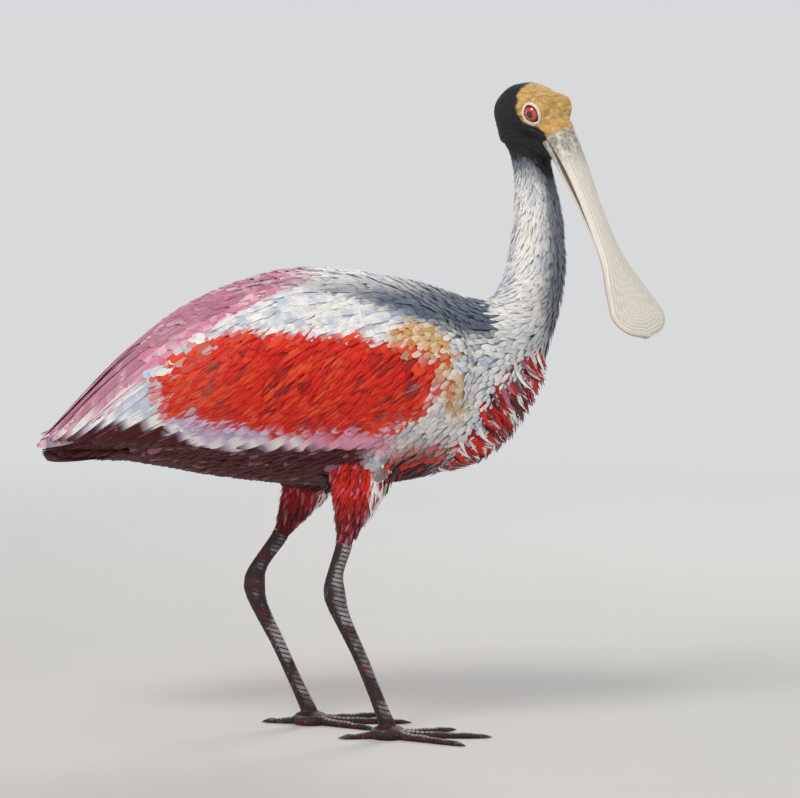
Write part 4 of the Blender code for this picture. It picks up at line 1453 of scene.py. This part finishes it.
class SPOONBILL_OT_trunk(Undoable, Operator):
    """Cover back, breast and belly in feathers"""

    bl_idname = "spoonbill.trunk"
    bl_label = "Back and belly feathers"

    def execute(self, context):
        sizes, skin, finish = coat_basis(context, "body_feather", "plumage", 220.0)
        middles, rise = skin.middles(), skin.face_normals[:, 2]
        on_trunk = skin.faces_in("trunk", "tail") * (middles[:, 0] > TAIL_ROOT)
        on_trunk *= 1.0 - 0.8 * plume_ground(middles, sizes)
        above = (rise > 0.1) & (middles[:, 0] > BACK_END)
        under_tail = (middles[:, 2] < 0.226) & (rise < -0.4)
        below = (rise <= 0.1) & ((middles[:, 0] > -0.15) | under_tail)
        for n, (name, chosen) in enumerate((("back_feathers", above), ("belly_feathers", below))):
            coat = Coat(name, wrap_round((0, MIDDLE_Y, 0.28), (1, 0, 0), -0.25, 0.16), sizes.seed + 10 + n)
            roots, shares, yaw = coat.roots(skin, on_trunk * chosen, sizes.trunk_spacing)
            lengths = (14.0 + 9.0 * ease(0.15, -0.05, roots[:, 0])) * MM * shares
            tip = sizes.trunk_depth * 0.72
            lines, ups = coat.laid(skin, roots, lengths, 10, body_lie, yaw, -0.4 * MM, tip, 0.35 * MM)
            widths = lengths * coat.draws.uniform(0.13, 0.165, len(roots))
            coat.add(lines, ups, widths, "contour", 0.35 * MM, 0.22, notch=0.22, roll=4.0)
            coat.piece(finish, "body_plumage")
        return {"FINISHED"}


WING_WRAP = wrap_round((0, MIDDLE_Y, 0.28), (1, 0, 0), -0.25, 0.12)


class SPOONBILL_OT_coverts(Undoable, Operator):
    """Cover the folded wings in coverts"""

    bl_idname = "spoonbill.coverts"
    bl_label = "Wing coverts"

    def execute(self, context):
        sizes, skin, finish = coat_basis(context, "covert", "plumage", 230.0)
        for side in SIDES:
            coat = Coat("coverts_" + side, WING_WRAP, sizes.seed + 20)
            mine = skin.faces_in("wing_" + side) * covert_ground(skin.middles())
            roots, shares, yaw = coat.roots(skin, mine, sizes.covert_spacing)
            red = in_scarlet(roots)
            lengths = (16.0 + 10.0 * ease(0.06, -0.12, roots[:, 0]) + 9.0 * red) * MM * shares
            widths = lengths * (coat.draws.uniform(0.145, 0.185, len(roots)) * (1.0 - 0.42 * red))
            tip = sizes.wing_depth * 0.78
            for part, form in ((red < 0.5, "contour"), (red >= 0.5, "lance")):
                lines, ups = coat.laid(
                    skin, roots[part], lengths[part], 11, wing_lie, yaw[part], -0.4 * MM, tip, 0.35 * MM
                )
                coat.add(lines, ups, widths[part], form, 0.35 * MM, 0.25, notch=0.22, roll=4.5)
            coat.piece(finish, "wing_plumage")
        return {"FINISHED"}


class SPOONBILL_OT_thighs(Undoable, Operator):
    """Cover the thighs in soft feathers"""

    bl_idname = "spoonbill.thighs"
    bl_label = "Thigh feathers"

    def execute(self, context):
        sizes, skin, finish = coat_basis(context, "thigh_feather", "thigh", 160.0)
        for side in SIDES:
            middle = centre_of("thigh_" + side)
            coat = Coat("thigh_feathers_" + side, wrap_round(middle, UP, -0.04, 0.04), sizes.seed + 30)
            mine = skin.faces_in("thigh_" + side)
            roots, shares, yaw = coat.roots(skin, mine, sizes.thigh_spacing, 0.8, 1.2, 7.0)
            lengths = 12.0 * MM * shares
            tip = sizes.thigh_depth * 0.8
            lines, ups = coat.laid(skin, roots, lengths, 9, steady(-0.25), yaw, -0.3 * MM, tip, 0.4 * MM)
            front = unit((lines[:, 4] - middle) * (1.0, 1.0, 0.0))[:, 0]
            coat.add(lines, ups, lengths * 0.15, "lance", 0.3 * MM, 0.28, front=front)
            coat.piece(finish, "plume")
        return {"FINISHED"}


class SPOONBILL_OT_flights(Undoable, Operator):
    """Lay the long flight feathers, row over row"""

    bl_idname = "spoonbill.flights"
    bl_label = "Flight feathers"

    def execute(self, context):
        settings = context.scene.spoonbill
        outer, _ = body_shapes(settings.coat)
        finish = feather_finish("quill_feather", settings.plumage, "plumage", 900.0)
        for side in SIDES:
            coat = Coat("flight_feathers_" + side, WING_WRAP, 41)
            for view, count, first_root, last_root, first_tip, last_tip, wide, depth, sag in QUILL_ROWS:
                share = (np.arange(count) / (count - 1))[:, None]
                jitter = coat.draws.normal(0.0, 1.3, (count, 2))
                roots = blended(first_root, last_root, share) * MM
                tips = (blended(first_tip, last_tip, share) + jitter) * MM
                sags = blended(*sag, share[:, 0]) * MM
                lines, ups = quill_lines(outer, view, side, roots, tips, 24, sags)
                depths = depth * MM + coat.draws.normal(0.0, 0.15 * MM, count)
                lines = raised(lines, ups, -(depth + 1.8) * MM, 0.6 * MM - depths, 0.8)
                widths = wide * MM * coat.draws.uniform(0.92, 1.08, count)
                # Rows seen from above are kept out of the painted maroon shade on the wing's lower edge.
                upper = np.full(count, float(view == "top"))  # the dark lower edge doesn't reach these
                coat.add(lines, ups, widths, "quill", 0.5 * MM, 0.16, notch=0.07, roll=1.5, front=upper,
                         tilt=8.0 * SIDES[side] * (view == "side"), whole=False)
            coat.piece(finish, "wing_plumage", "wing_" + side)
        return {"FINISHED"}


class SPOONBILL_OT_scapulars(Undoable, Operator):
    """Lay the shoulder feathers over the coverts"""

    bl_idname = "spoonbill.scapulars"
    bl_label = "Scapulars"

    def execute(self, context):
        sizes, skin, finish = coat_basis(context, "scapular", "plumage", 380.0)
        middles = skin.middles() / MM
        reach = ((middles[:, 0] - 6) / 74) ** 2 + ((middles[:, 2] - 346) / 22) ** 2
        for side, way in SIDES.items():
            coat = Coat("scapulars_" + side, WING_WRAP, sizes.seed + 50)
            mine = (reach < 1.0) * ((middles[:, 1] - MIDDLE_Y / MM) * way > 14.0)
            roots, shares, yaw = coat.roots(skin, mine, 5.5 * MM, turn=6.0)
            lengths = 40.0 * MM * shares
            tip = sizes.wing_depth * 0.98
            lines, ups = coat.laid(
                skin, roots, lengths, 14, scapular_lie, yaw, 0.5 * MM, tip, 0.3 * MM, bend=0.8, keep=0.6
            )
            widths = lengths * coat.draws.uniform(0.10, 0.13, len(roots))
            coat.add(lines, ups, widths, "lance", 0.4 * MM, 0.20, notch=0.25, whole=False)
            coat.piece(finish, "body_plumage")
        return {"FINISHED"}


class SPOONBILL_OT_tail(Undoable, Operator):
    """Fold the tail feathers under the wing tips"""

    bl_idname = "spoonbill.tail"
    bl_label = "Tail feathers"

    def execute(self, context):
        settings = context.scene.spoonbill
        low, high = (np.array(corner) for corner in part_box("tail"))
        finish = feather_finish("tail_feather", settings.plumage, "plumage", 600.0)
        wrap = wrap_round((0, MIDDLE_Y, 0.23), (1, 0, 0), -0.25, -0.17)
        coat = Coat("tail_feathers", wrap, settings.coat.seed + 60)
        count, stations = 12, 16
        share = np.linspace(-1, 1, count)[:, None]
        run = np.linspace(0, 1, stations)[None, :]
        root, tip = high[0] + 10 * MM, low[0] + 0.8 * MM
        x = root + (tip - root) * run * (1 - 0.08 * share**2)
        y = (low[1] + high[1]) / 2 + ((high[1] - low[1]) / 2 - 7.0 * MM) * share * (0.45 + 0.55 * run)
        z = low[2] + (2.2 + 5.0 * (1 - run) ** 1.6 + 6.5 * (1 - np.abs(share)) + 0.4 * (share > 0)) * MM
        lines = np.stack(np.broadcast_arrays(x, y, z), axis=2)
        ups = np.tile(UP, (count, stations, 1))
        lean = -20.0 * share[..., None]  # the tail is folded like a low roof
        widths = np.full(count, 6.5 * MM)
        coat.add(lines, ups, widths, "quill", 0.5 * MM, 0.08, notch=0.07, roll=2.0, tilt=lean, whole=False)
        coat.piece(finish, "tail_plumage", "tail")
        return {"FINISHED"}


class SPOONBILL_OT_plume(Undoable, Operator):
    """Curl the loose feathers that hang from the breast"""

    bl_idname = "spoonbill.plume"
    bl_label = "Breast plume"

    def execute(self, context):
        sizes, skin, finish = coat_basis(context, "plume_feather", "plume", 260.0)
        wrap = wrap_round(centre_of("breast_plume"), UP, -0.06, 0.06)
        coat = Coat("breast_plume_feathers", wrap, sizes.seed + 70)
        low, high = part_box("breast_plume")
        roots, chosen = scatter(skin, plume_ground(skin.middles(), sizes), 3.1 * MM, coat.draws)
        lengths = 25.0 * MM * coat.draws.uniform(0.75, 1.2, len(roots))
        hook = -60.0 * np.sign(skin.face_normals[chosen, 1]) * coat.draws.uniform(0.4, 1.3, len(roots))
        yaw = coat.draws.normal(0.0, 12.0, len(roots))
        lines, ups = lay(skin, roots, lengths, 14, steady(0.5), yaw, 0.3, hook)
        level = ease(low[2], high[2], roots[:, 2])
        tips = coat.draws.uniform(5.0, 12.0, len(roots)) * MM * (0.65 + 0.35 * level)
        lines = raised(lines, ups, 1.2 * MM, tips, 1.6)
        widths = lengths * coat.draws.uniform(0.075, 0.115, len(roots))
        coat.add(lines, ups, widths, "curl", 0.4 * MM, 0.40, notch=0.15, roll=14.0)
        coat.piece(finish, "plume", "breast_plume")
        return {"FINISHED"}


# ---- eyes, bill and claws


def eye_finish(colours):
    """Wet eye: black pupil, red iris with fibres, dark rim."""
    finish = Finish("eye", Roughness=0.12, Coat_Weight=1.0, Coat_Roughness=0.02, Specular_IOR_Level=0.6)
    gaze = finish.attribute("gaze")
    strands = {"Vector": finish.attribute("fibre", "Vector"), "Scale": 6.0, "Detail": 4.0}
    fibre = finish.node("TexNoise", inputs=strands)
    mix, ramp = finish.mix, finish.ramp
    iris = mix(ramp(fibre, 0.40, 0.62), colours.iris, paint(240, 84, 30))
    iris = mix(ramp(gaze, 0.62, 0.86), iris, paint(96, 6, 4))
    shade = mix(ramp(gaze, 0.36, 0.39), (0.003, 0.003, 0.004), iris)
    shade = mix(ramp(gaze, 0.88, 0.93), shade, (0.010, 0.006, 0.006))
    finish.feed("Base Color", shade)
    finish.feed("Roughness", ramp(fibre, 0.3, 0.7) * 0.06 + 0.10)
    return finish.material


def eyeball(side):
    """A ball with a raised window that looks a little ahead, and the marks to paint it by."""
    centre, outward, ahead, upward = eye_axes(side)
    look = unit(outward + ahead * 0.06)
    ahead = along_surface(ahead, look)
    upward = np.cross(look, ahead)
    rings, around = 44, 64
    angle = np.linspace(0, math.pi, rings)[:, None]
    turn = turns(around)[None, :]
    radius = EYE_RADIUS * (1.0 + 0.035 * (1 - ease(0.35, 0.95, angle))) - 0.25 * MM
    spots = radius[..., None] * (
        look * np.cos(angle)[..., None]
        + ahead * (np.sin(angle) * np.cos(turn))[..., None]
        + upward * (np.sin(angle) * np.sin(turn))[..., None]
    )
    inner = (centre + spots)[1:-1].reshape(-1, 3)
    corners = np.concatenate([inner, centre + spots[[0, -1], 0]])
    level = np.repeat(angle[1:-1, 0], around)
    gaze = np.concatenate([level, [0.0, math.pi]])
    circle = np.tile(np.stack([np.cos(turn[0]), np.sin(turn[0])], axis=1) * 2.0, (rings - 2, 1))
    fibre = np.concatenate([np.column_stack([circle, level * 0.5]), [[0, 0, 0], [0, 0, 1]]])
    number = np.arange(around)
    after = (number + 1) % around
    last = len(inner) - around
    front, back = np.full(around, len(inner)), np.full(around, len(inner) + 1)
    caps = [np.stack(cap, axis=1) for cap in ((front, number, after), (back, last + after, last + number))]
    quads = grid_faces(rings - 2, around)[:, ::-1]
    loops = np.concatenate([quads.ravel(), *(cap.ravel() for cap in caps)])
    totals = np.concatenate([np.full(len(quads), 4), np.full(2 * around, 3)])
    return (corners, loops, totals), {"gaze": gaze, "fibre": fibre}


class BillShape:
    """The bill's own directions, and its outline on the CAD halves."""

    def __init__(self, count=90):
        both = solid(["bill_upper", "bill_lower"])[0]
        side = self.side = HEAD_SIDE
        middle = both.mean(axis=0)
        flat = (both - middle) - np.outer((both - middle) @ side, side)
        _, _, axes = np.linalg.svd(flat, full_matrices=False)
        self.ahead = along_surface(axes[0] * np.sign(axes[0] @ (middle - EYE_MIDDLE)), side)
        self.rise = np.cross(self.ahead, side)
        reach, across = both @ self.ahead, both @ side
        self.start = middle + self.ahead * (reach.min() - middle @ self.ahead)
        self.start += side * ((across.min() + across.max()) / 2 - middle @ side)
        self.length = reach.max() - reach.min()
        self.at = np.linspace(0.03, 0.994, count) * self.length
        trees = {half: tree_of_nodes("bill_" + half) for half in HALVES}
        self.lines = {  # heights of each half's inside and outside along the middle
            half: [self.heights(tree, -HALVES[half]), self.heights(tree, HALVES[half])]
            for half, tree in trees.items()
        }
        seam = (self.lines["upper"][0] + self.lines["lower"][0]) / 2
        self.widths = {half: self.reaches(trees[half], seam, way) for half, way in HALVES.items()}

    def size_at(self, at):
        """The underside, top and half-width of the closed bill at a distance along it."""
        lines = self.lines["lower"][1], self.lines["upper"][1], self.widths["upper"]
        return [float(np.interp(at, self.at, line)) for line in lines]

    def cast(self, tree, at, offset, way):
        """Where a ray first meets a half, from the bill's start along the ray."""
        hit = tree.ray_cast(Vector(self.start + self.ahead * at + offset), Vector(-way))[0]
        return np.nan if hit is None else (np.array(hit) - self.start) @ way

    def heights(self, tree, way):
        """Heights where rays from one side meet the middle of a half."""
        rays = self.rise * (way * 0.08), self.rise * way
        found = np.array([self.cast(tree, at, *rays) for at in self.at]) * way
        good = ~np.isnan(found)
        return np.interp(self.at, self.at[good], found[good])

    def reaches(self, tree, seam, way):
        """Half-widths of a half just above or below the seam between the two."""
        found = []
        for at, level in zip(self.at, seam):
            lifts = [self.rise * (level + way * lift * MM) for lift in (0.25, 0.6, 1.2, 2.4)]
            widths = [self.cast(tree, at, lift + self.side * 0.06, self.side) for lift in lifts]
            found.append(np.nanmax([0.0, *widths]))
        return np.array(found)


def bill_half(shape, half, sizes):
    """One half of the bill as a fine closed surface, and the marks to paint it by."""
    way = HALVES[half]
    rows, over, under = 230, 44, 14
    run = np.sin(np.linspace(0, math.pi / 2, rows)) * shape.length
    run[0] = -1.5 * MM
    inside, outside = (np.interp(run, shape.at, line) for line in shape.lines[half])
    wide = np.interp(run, shape.at, shape.widths[half])
    nose = shape.length - 5.0 * MM
    wide = np.where(run > nose, np.minimum(wide, np.interp(nose, run, wide)), wide)
    wide = wide * np.sqrt(np.clip(1.0 - np.clip((run - nose) / (shape.length - nose), 0, 1) ** 2, 0.004, 1))
    arch = np.linspace(0, math.pi, over + 1)
    spread = np.concatenate([np.cos(arch), np.linspace(-1, 1, under + 1)[1:-1]])
    lift = np.concatenate([np.sin(arch) ** 0.72, np.zeros(under - 1)])
    columns = len(spread)
    depth = (outside - inside)[:, None]
    across = wide[:, None] * spread[None, :]
    outer = np.clip(lift * 3.0, 0, 1)[None, :]
    gap = rim_distance(run, wide, across)
    far = run[:, None]
    share = far / shape.length
    # Ridges run along the shaft and round the spoon, parallel to its edge.
    wave = np.cos(2 * math.pi * gap / (sizes.ridge_pitch * (1.0 + 0.25 * ease(0.55, 0.8, share))))
    strength = ease(0.02, 0.15, share) * (1.0 - 0.5 * ease_mm(8, 16, gap)) * ease_mm(0.6, 2, gap)
    relief = sizes.ridge * wave * strength - 0.5 * MM * bell_mm(gap, 1.6, 0.7) * ease(0.5, 0.7, share)
    # The base is pebbled and folded, and the nostril is a slit on each side of the upper half.
    spots = shape.start + shape.ahead * far[..., None] + shape.side * across[..., None]
    flat = spots.reshape(-1, 3)
    bumps, fine = (g.reshape(across.shape) for g in (grain(flat, 3.2 * MM), grain(flat, 1.3 * MM, 5.0)))
    relief += (1.0 - ease(0.05, 0.24, share)) * (0.55 * MM * np.abs(bumps) + 0.18 * MM * fine)
    relief += 0.22 * MM * (np.sin(far / (1.5 * MM) + bumps * 1.6) * (1 - ease(0.02, 0.13, share)))
    if half == "upper":
        beside = (np.abs(across) - 0.42 * wide[:, None]) / (0.9 * MM)
        slit = np.hypot((far - 0.105 * shape.length) / (6.5 * MM), beside)
        relief -= 1.2 * MM * (1 - ease(0.4, 1.1, slit))
    relief = relief * outer * np.clip(depth / (2.4 * MM), 0.15, 1.0)
    height = inside[:, None] + depth * lift[None, :] + way * relief
    if half == "upper":  # its underside is a little hollow
        hollow = (lift == 0.0) * (np.arange(columns) > over) * (1 - spread**2)
        height = height + hollow[None, :] * np.clip(depth * 0.18, 0, 0.8 * MM)
    corners = (spots + shape.rise * height[..., None]).reshape(-1, 3)
    faces = grid_faces(rows, columns)
    first, last = np.arange(columns), (rows - 1) * columns + np.arange(columns)
    caps = [first[::-1], last]
    if half == "upper":
        faces, caps = faces[:, ::-1], [first, last[::-1]]
    totals = np.concatenate([np.full(len(faces), 4), [columns, columns]])
    mark = np.stack(np.broadcast_arrays(share, gap / MM / 10.0, outer), axis=2)
    groove = np.clip(-wave * strength, 0, 1)
    return (corners, np.concatenate([faces.ravel(), *caps]), totals), {
        "place": corners, "horn": mark.reshape(-1, 3), "groove": groove.ravel(),
    }


def rim_distance(run, wide, across):
    """Distance of each point to the bill's outline, in the plane of the bill."""
    fine = np.arange(run[0], run[-1], 0.5 * MM)
    edge, level = np.interp(fine, run, wide), np.zeros(len(fine))
    rims = np.stack([np.stack([fine, half, level], axis=1) for half in (edge, -edge)], axis=1)
    tree = point_tree(rims.reshape(-1, 3))
    flat = np.stack(np.broadcast_arrays(run[:, None], across), axis=2).reshape(-1, 2)
    return np.array([tree.find((x, y, 0))[2] for x, y in flat.tolist()]).reshape(across.shape)


def horn_finish(colours):
    """Ivory horn with grey grooves, a mottled base and a rosy rim on the spoon."""
    finish = Finish("bill_horn", Coat_Weight=0.15, Coat_Roughness=0.35, Specular_IOR_Level=0.5)
    mix, ramp, c = finish.mix, finish.ramp, colours
    place = finish.attribute("place", "Vector")
    share, gap, outer = finish.split(finish.attribute("horn", "Vector"))
    groove = finish.attribute("groove")
    mottle = finish.noise(place, 150.0, 4.0)
    shade = mix(ramp(mottle, 0.40, 0.70) * 0.45, c.ivory, paint(238, 232, 220))
    shade = mix(groove * 0.38, shade, c.horn)
    base = ramp(share + (mottle - 0.5) * 0.12, 0.24, 0.02)
    shade = mix(base * (ramp(mottle, 0.35, 0.6) * 0.7 + 0.2), shade, c.horn)
    shade = mix(base * ramp(finish.noise(place, 420.0, 3.0), 0.5, 0.66) * 0.7, shade, paint(60, 62, 60))
    shade = mix(ramp(share, 0.06, 0.0) * 0.6, shade, c.buff)
    spoon = ramp(share, 0.55, 0.75)
    shade = mix(ramp(gap, 0.10, 0.03) * spoon * 0.8, shade, c.rim)
    # The mouth side of each half is darker: partly its own colour, partly painted shade inside the mouth.
    shade = mix((1.0 - ramp(outer, 0.02, 0.2)) * 0.7, shade, paint(120, 70, 66))
    finish.feed("Base Color", shade)
    scratch = finish.noise(place, 500.0, 3.0)
    finish.feed("Roughness", mottle * 0.18 + 0.30 + groove * 0.15)
    finish.feed("Normal", finish.bump(scratch + mottle * 0.6, 0.15 * MM, 0.5))
    return finish.material


def claw_finish(colours):
    """Dark polished horn with lengthwise streaks."""
    finish = Finish("claw_horn", Coat_Weight=0.3, Coat_Roughness=0.2)
    place = finish.attribute("place", "Vector")
    streak = finish.noise(place, 300.0, 4.0, (0.25, 1.0, 1.0))
    finish.feed("Base Color", finish.mix(finish.ramp(streak, 0.45, 0.75), colours.claw, paint(92, 82, 74)))
    finish.feed("Roughness", streak * 0.3 + 0.22)
    finish.feed("Normal", finish.bump(streak, 0.1 * MM, 0.5))
    return finish.material


class SPOONBILL_OT_skin(Undoable, Operator):
    """Make the one skin of head, neck, body and legs"""

    bl_idname = "spoonbill.skin"
    bl_label = "Skin"

    def execute(self, context):
        settings = context.scene.spoonbill
        _, body = body_shapes(settings.coat)
        head, face = shaped_head(settings.face.opening, settings.face.crease)
        legs, groove, plate = shaped_legs()
        parts = [
            (body.corners, body.faces, {}), (head.corners, head.faces, {"region": 1.0, **face}),
            (legs.corners, legs.faces, {"region": 2.0, "groove": groove, "plate": plate}),
        ]
        for side in SIDES:
            places, faces, margin = lid_ring(side, settings.face)
            level = soot_level(places)
            # The ring is whitest above the soot's edge, as painted highlight; its inner margin is dark.
            lid = (0.35 + 0.65 * ease(-6.0, 1.0, level)) * (1.0 - margin)
            parts.append((places, faces, {"region": 1.0, "lid": lid, "soot": level - 20.0 * margin}))
        shape = joined([part[:2] for part in parts])
        edge = heights_on_body(shape[0])
        marks = {
            "place": shape[0], "edge": edge, "chance": np.full(len(edge), 0.5),
            "front": front_share(shape[0]) * (edge[:, 2] > 0.3),
        }
        for key in ("region", "groove", "plate", "lid", "mouth", "soot", "fold"):
            marks[key] = np.concatenate([np.zeros(len(part[0])) + part[2].get(key, 0.0) for part in parts])
        nodes = ["trunk", "neck_lower", "neck_upper", "head", "thigh_left", "thigh_right"]
        nodes += leg_nodes("left") + leg_nodes("right")
        new_piece("skin", shape, skin_finish(settings), nodes, marks)
        return {"FINISHED"}


class SPOONBILL_OT_eyes(Undoable, Operator):
    """Make the two wet red eyes"""

    bl_idname = "spoonbill.eyes"
    bl_label = "Eyes"

    def execute(self, context):
        finish = eye_finish(context.scene.spoonbill.head)
        for side in SIDES:
            shape, marks = eyeball(side)
            new_piece("eyeball_" + side, shape, finish, ["eye_" + side], marks)
        return {"FINISHED"}


class SPOONBILL_OT_bill(Undoable, Operator):
    """Make the ridged halves of the bill"""

    bl_idname = "spoonbill.bill"
    bl_label = "Bill"

    def execute(self, context):
        settings = context.scene.spoonbill
        finish = horn_finish(settings.head)
        bill = BillShape()
        for half in HALVES:
            shape, marks = bill_half(bill, half, settings.face)
            new_piece("bill_horn_" + half, shape, finish, ["bill_" + half], marks)
        return {"FINISHED"}


class SPOONBILL_OT_claws(Undoable, Operator):
    """Make the blunt dark claws"""

    bl_idname = "spoonbill.claws"
    bl_label = "Claws"

    def execute(self, context):
        finish = claw_finish(context.scene.spoonbill.leg)
        for side in SIDES:
            names = [f"claw_{side}_{toe}" for toe in TOES]
            net = remeshed(names, 0.36 * MM, 6)
            near = distances(tree_of_nodes(*(f"toe_{side}_{toe}" for toe in TOES)), net.corners)
            inward = unit((centre_of("foot_" + side) - net.corners) * (1.0, 1.0, 0.0))
            net.corners = net.corners + inward * (2.2 * MM * (1.0 - ease_mm(0.5, 1.4, near)))[:, None]
            net.corners[:, 2] = np.maximum(net.corners[:, 2], 0.0)
            shape = joined([(net.corners, net.faces)])
            new_piece("claws_" + side, shape, finish, names, {"place": shape[0]})
        return {"FINISHED"}


# ---- stage

STUDIO_TONE = (0.93, 0.94, 0.96, 1.0)
HORIZON_LIGHT, TOP_LIGHT = 0.74, 0.34  # of the studio, which is brightest level with the bird
LAMPS = (  # name, place, width, watts, tint
    ("key", (-1.0, -1.7, 2.3), 1.1, 44.0, (1.0, 0.97, 0.93)),
    ("fill", (1.9, -1.5, 1.0), 1.8, 7.0, (0.92, 0.96, 1.0)),
    ("rim", (0.7, 1.9, 1.7), 1.2, 26.0, (1.0, 0.98, 0.95)),
)


def glow(nodes, kind, strength):
    return nodes.node(kind, inputs={"Color": STUDIO_TONE, "Strength": strength})


def build_floor(reach):
    """A wide pale floor with a faint uneven tone."""
    mesh = bpy.data.meshes.new("floor")
    corners = [(-reach, -reach, 0), (reach, -reach, 0), (reach, reach, 0), (-reach, reach, 0)]
    mesh.from_pydata(corners, [], [(0, 1, 2, 3)])
    finish = Finish("floor", Roughness=0.9, Specular_IOR_Level=0.1)
    place = finish.node("NewGeometry", output="Position")
    tone = finish.noise(place, 3.0, 4.0)
    finish.feed("Base Color", finish.mix(tone, paint(206, 205, 202), paint(212, 211, 208)))
    # Far from the bird the floor takes the studio's tone, so that no line shows.
    far = finish.ramp(finish.node("VectorMath", {"operation": "LENGTH"}, [place], output=1), 0.6, 2.6)
    near = Wire(finish, finish.shader.outputs[0])
    surface = finish.node("MixShader", inputs=[far, near, glow(finish, "Emission", HORIZON_LIGHT)])
    finish.link(surface, "Material Output", "Surface")
    mesh.materials.append(finish.material)
    placed("floor", mesh)


def build_world():
    """A pale studio: bright all round, and dimmer overhead."""
    world = bpy.data.worlds.new("studio")
    nodes = Nodes(world)
    nodes.tree.nodes.remove(nodes.tree.nodes["Background"])
    level = nodes.node("SeparateXYZ", inputs=[nodes.node("TexCoord", output="Generated")], output="Z")
    share = nodes.node("MapRange", inputs={"Value": level, "From Min": 0.12, "From Max": 0.70})
    lights = [glow(nodes, "Background", light) for light in (HORIZON_LIGHT, TOP_LIGHT)]
    nodes.link(nodes.node("MixShader", inputs=[share, *lights]), "World Output", "Surface")
    bpy.context.scene.world = world


def aimed(name, data, place, way):
    """A lamp or camera that looks one way."""
    stand = placed(name, data)
    stand.location = place
    stand.rotation_mode = "QUATERNION"
    stand.rotation_quaternion = way.to_track_quat("-Z", "Y")
    return stand


class SPOONBILL_OT_stage(Undoable, Operator):
    """Set up the floor, the soft lights and the camera"""

    bl_idname = "spoonbill.stage"
    bl_label = "Stage"

    def execute(self, context):
        sizes = context.scene.spoonbill.stage
        build_floor(sizes.floor)
        build_world()
        aim = Vector((sizes.aim_x, 0.0, sizes.aim_z))
        for name, place, width, power, tint in LAMPS:
            lamp = bpy.data.lights.new(name, "AREA")
            lamp.shape, lamp.size, lamp.energy, lamp.color = "DISK", width, power, tint
            aimed(name, lamp, place, aim - Vector(place))
        lens = bpy.data.cameras.new("camera")
        lens.sensor_width = 36.0
        lens.lens = lens.sensor_width * sizes.distance / sizes.frame_width
        lens.clip_end = 100.0
        back = Vector((0.0, -math.cos(sizes.elevation), math.sin(sizes.elevation)))
        bpy.context.scene.camera = aimed("camera", lens, aim + back * sizes.distance, -back)
        bpy.context.scene.view_settings.view_transform = "Standard"
        return {"FINISHED"}


# ---- add-on

OPERATORS = (
    SPOONBILL_OT_stage, SPOONBILL_OT_skin, SPOONBILL_OT_neck, SPOONBILL_OT_trunk, SPOONBILL_OT_coverts,
    SPOONBILL_OT_scapulars, SPOONBILL_OT_flights, SPOONBILL_OT_tail, SPOONBILL_OT_plume,
    SPOONBILL_OT_thighs, SPOONBILL_OT_eyes, SPOONBILL_OT_bill, SPOONBILL_OT_claws,
)


class SPOONBILL_PT_panel(Panel):
    """The bird's pieces, each with a button, and its settings"""

    bl_idname = "SPOONBILL_PT_panel"
    bl_label = "Spoonbill"
    bl_space_type = "VIEW_3D"
    bl_region_type = "UI"
    bl_category = "Spoonbill"

    def draw(self, context):
        for operator in OPERATORS:
            self.layout.operator(operator.bl_idname)
        settings = context.scene.spoonbill
        for name, group in GROUPS.items():
            box = self.layout.box()
            box.label(text=name.capitalize())
            for key in group.__annotations__:
                box.prop(getattr(settings, name), key)


CLASSES = (*GROUPS.values(), SpoonbillSettings, *OPERATORS, SPOONBILL_PT_panel)


def register():
    for made in CLASSES:
        bpy.utils.register_class(made)
    bpy.types.Scene.spoonbill = PointerProperty(type=SpoonbillSettings)


def unregister():
    del bpy.types.Scene.spoonbill
    for made in reversed(CLASSES):
        bpy.utils.unregister_class(made)


def main():
    """Makes every piece."""
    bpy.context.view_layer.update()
    register()
    for operator in OPERATORS:
        getattr(bpy.ops.spoonbill, operator.bl_idname.split(".")[1])()


if __name__ == "__main__":
    main()
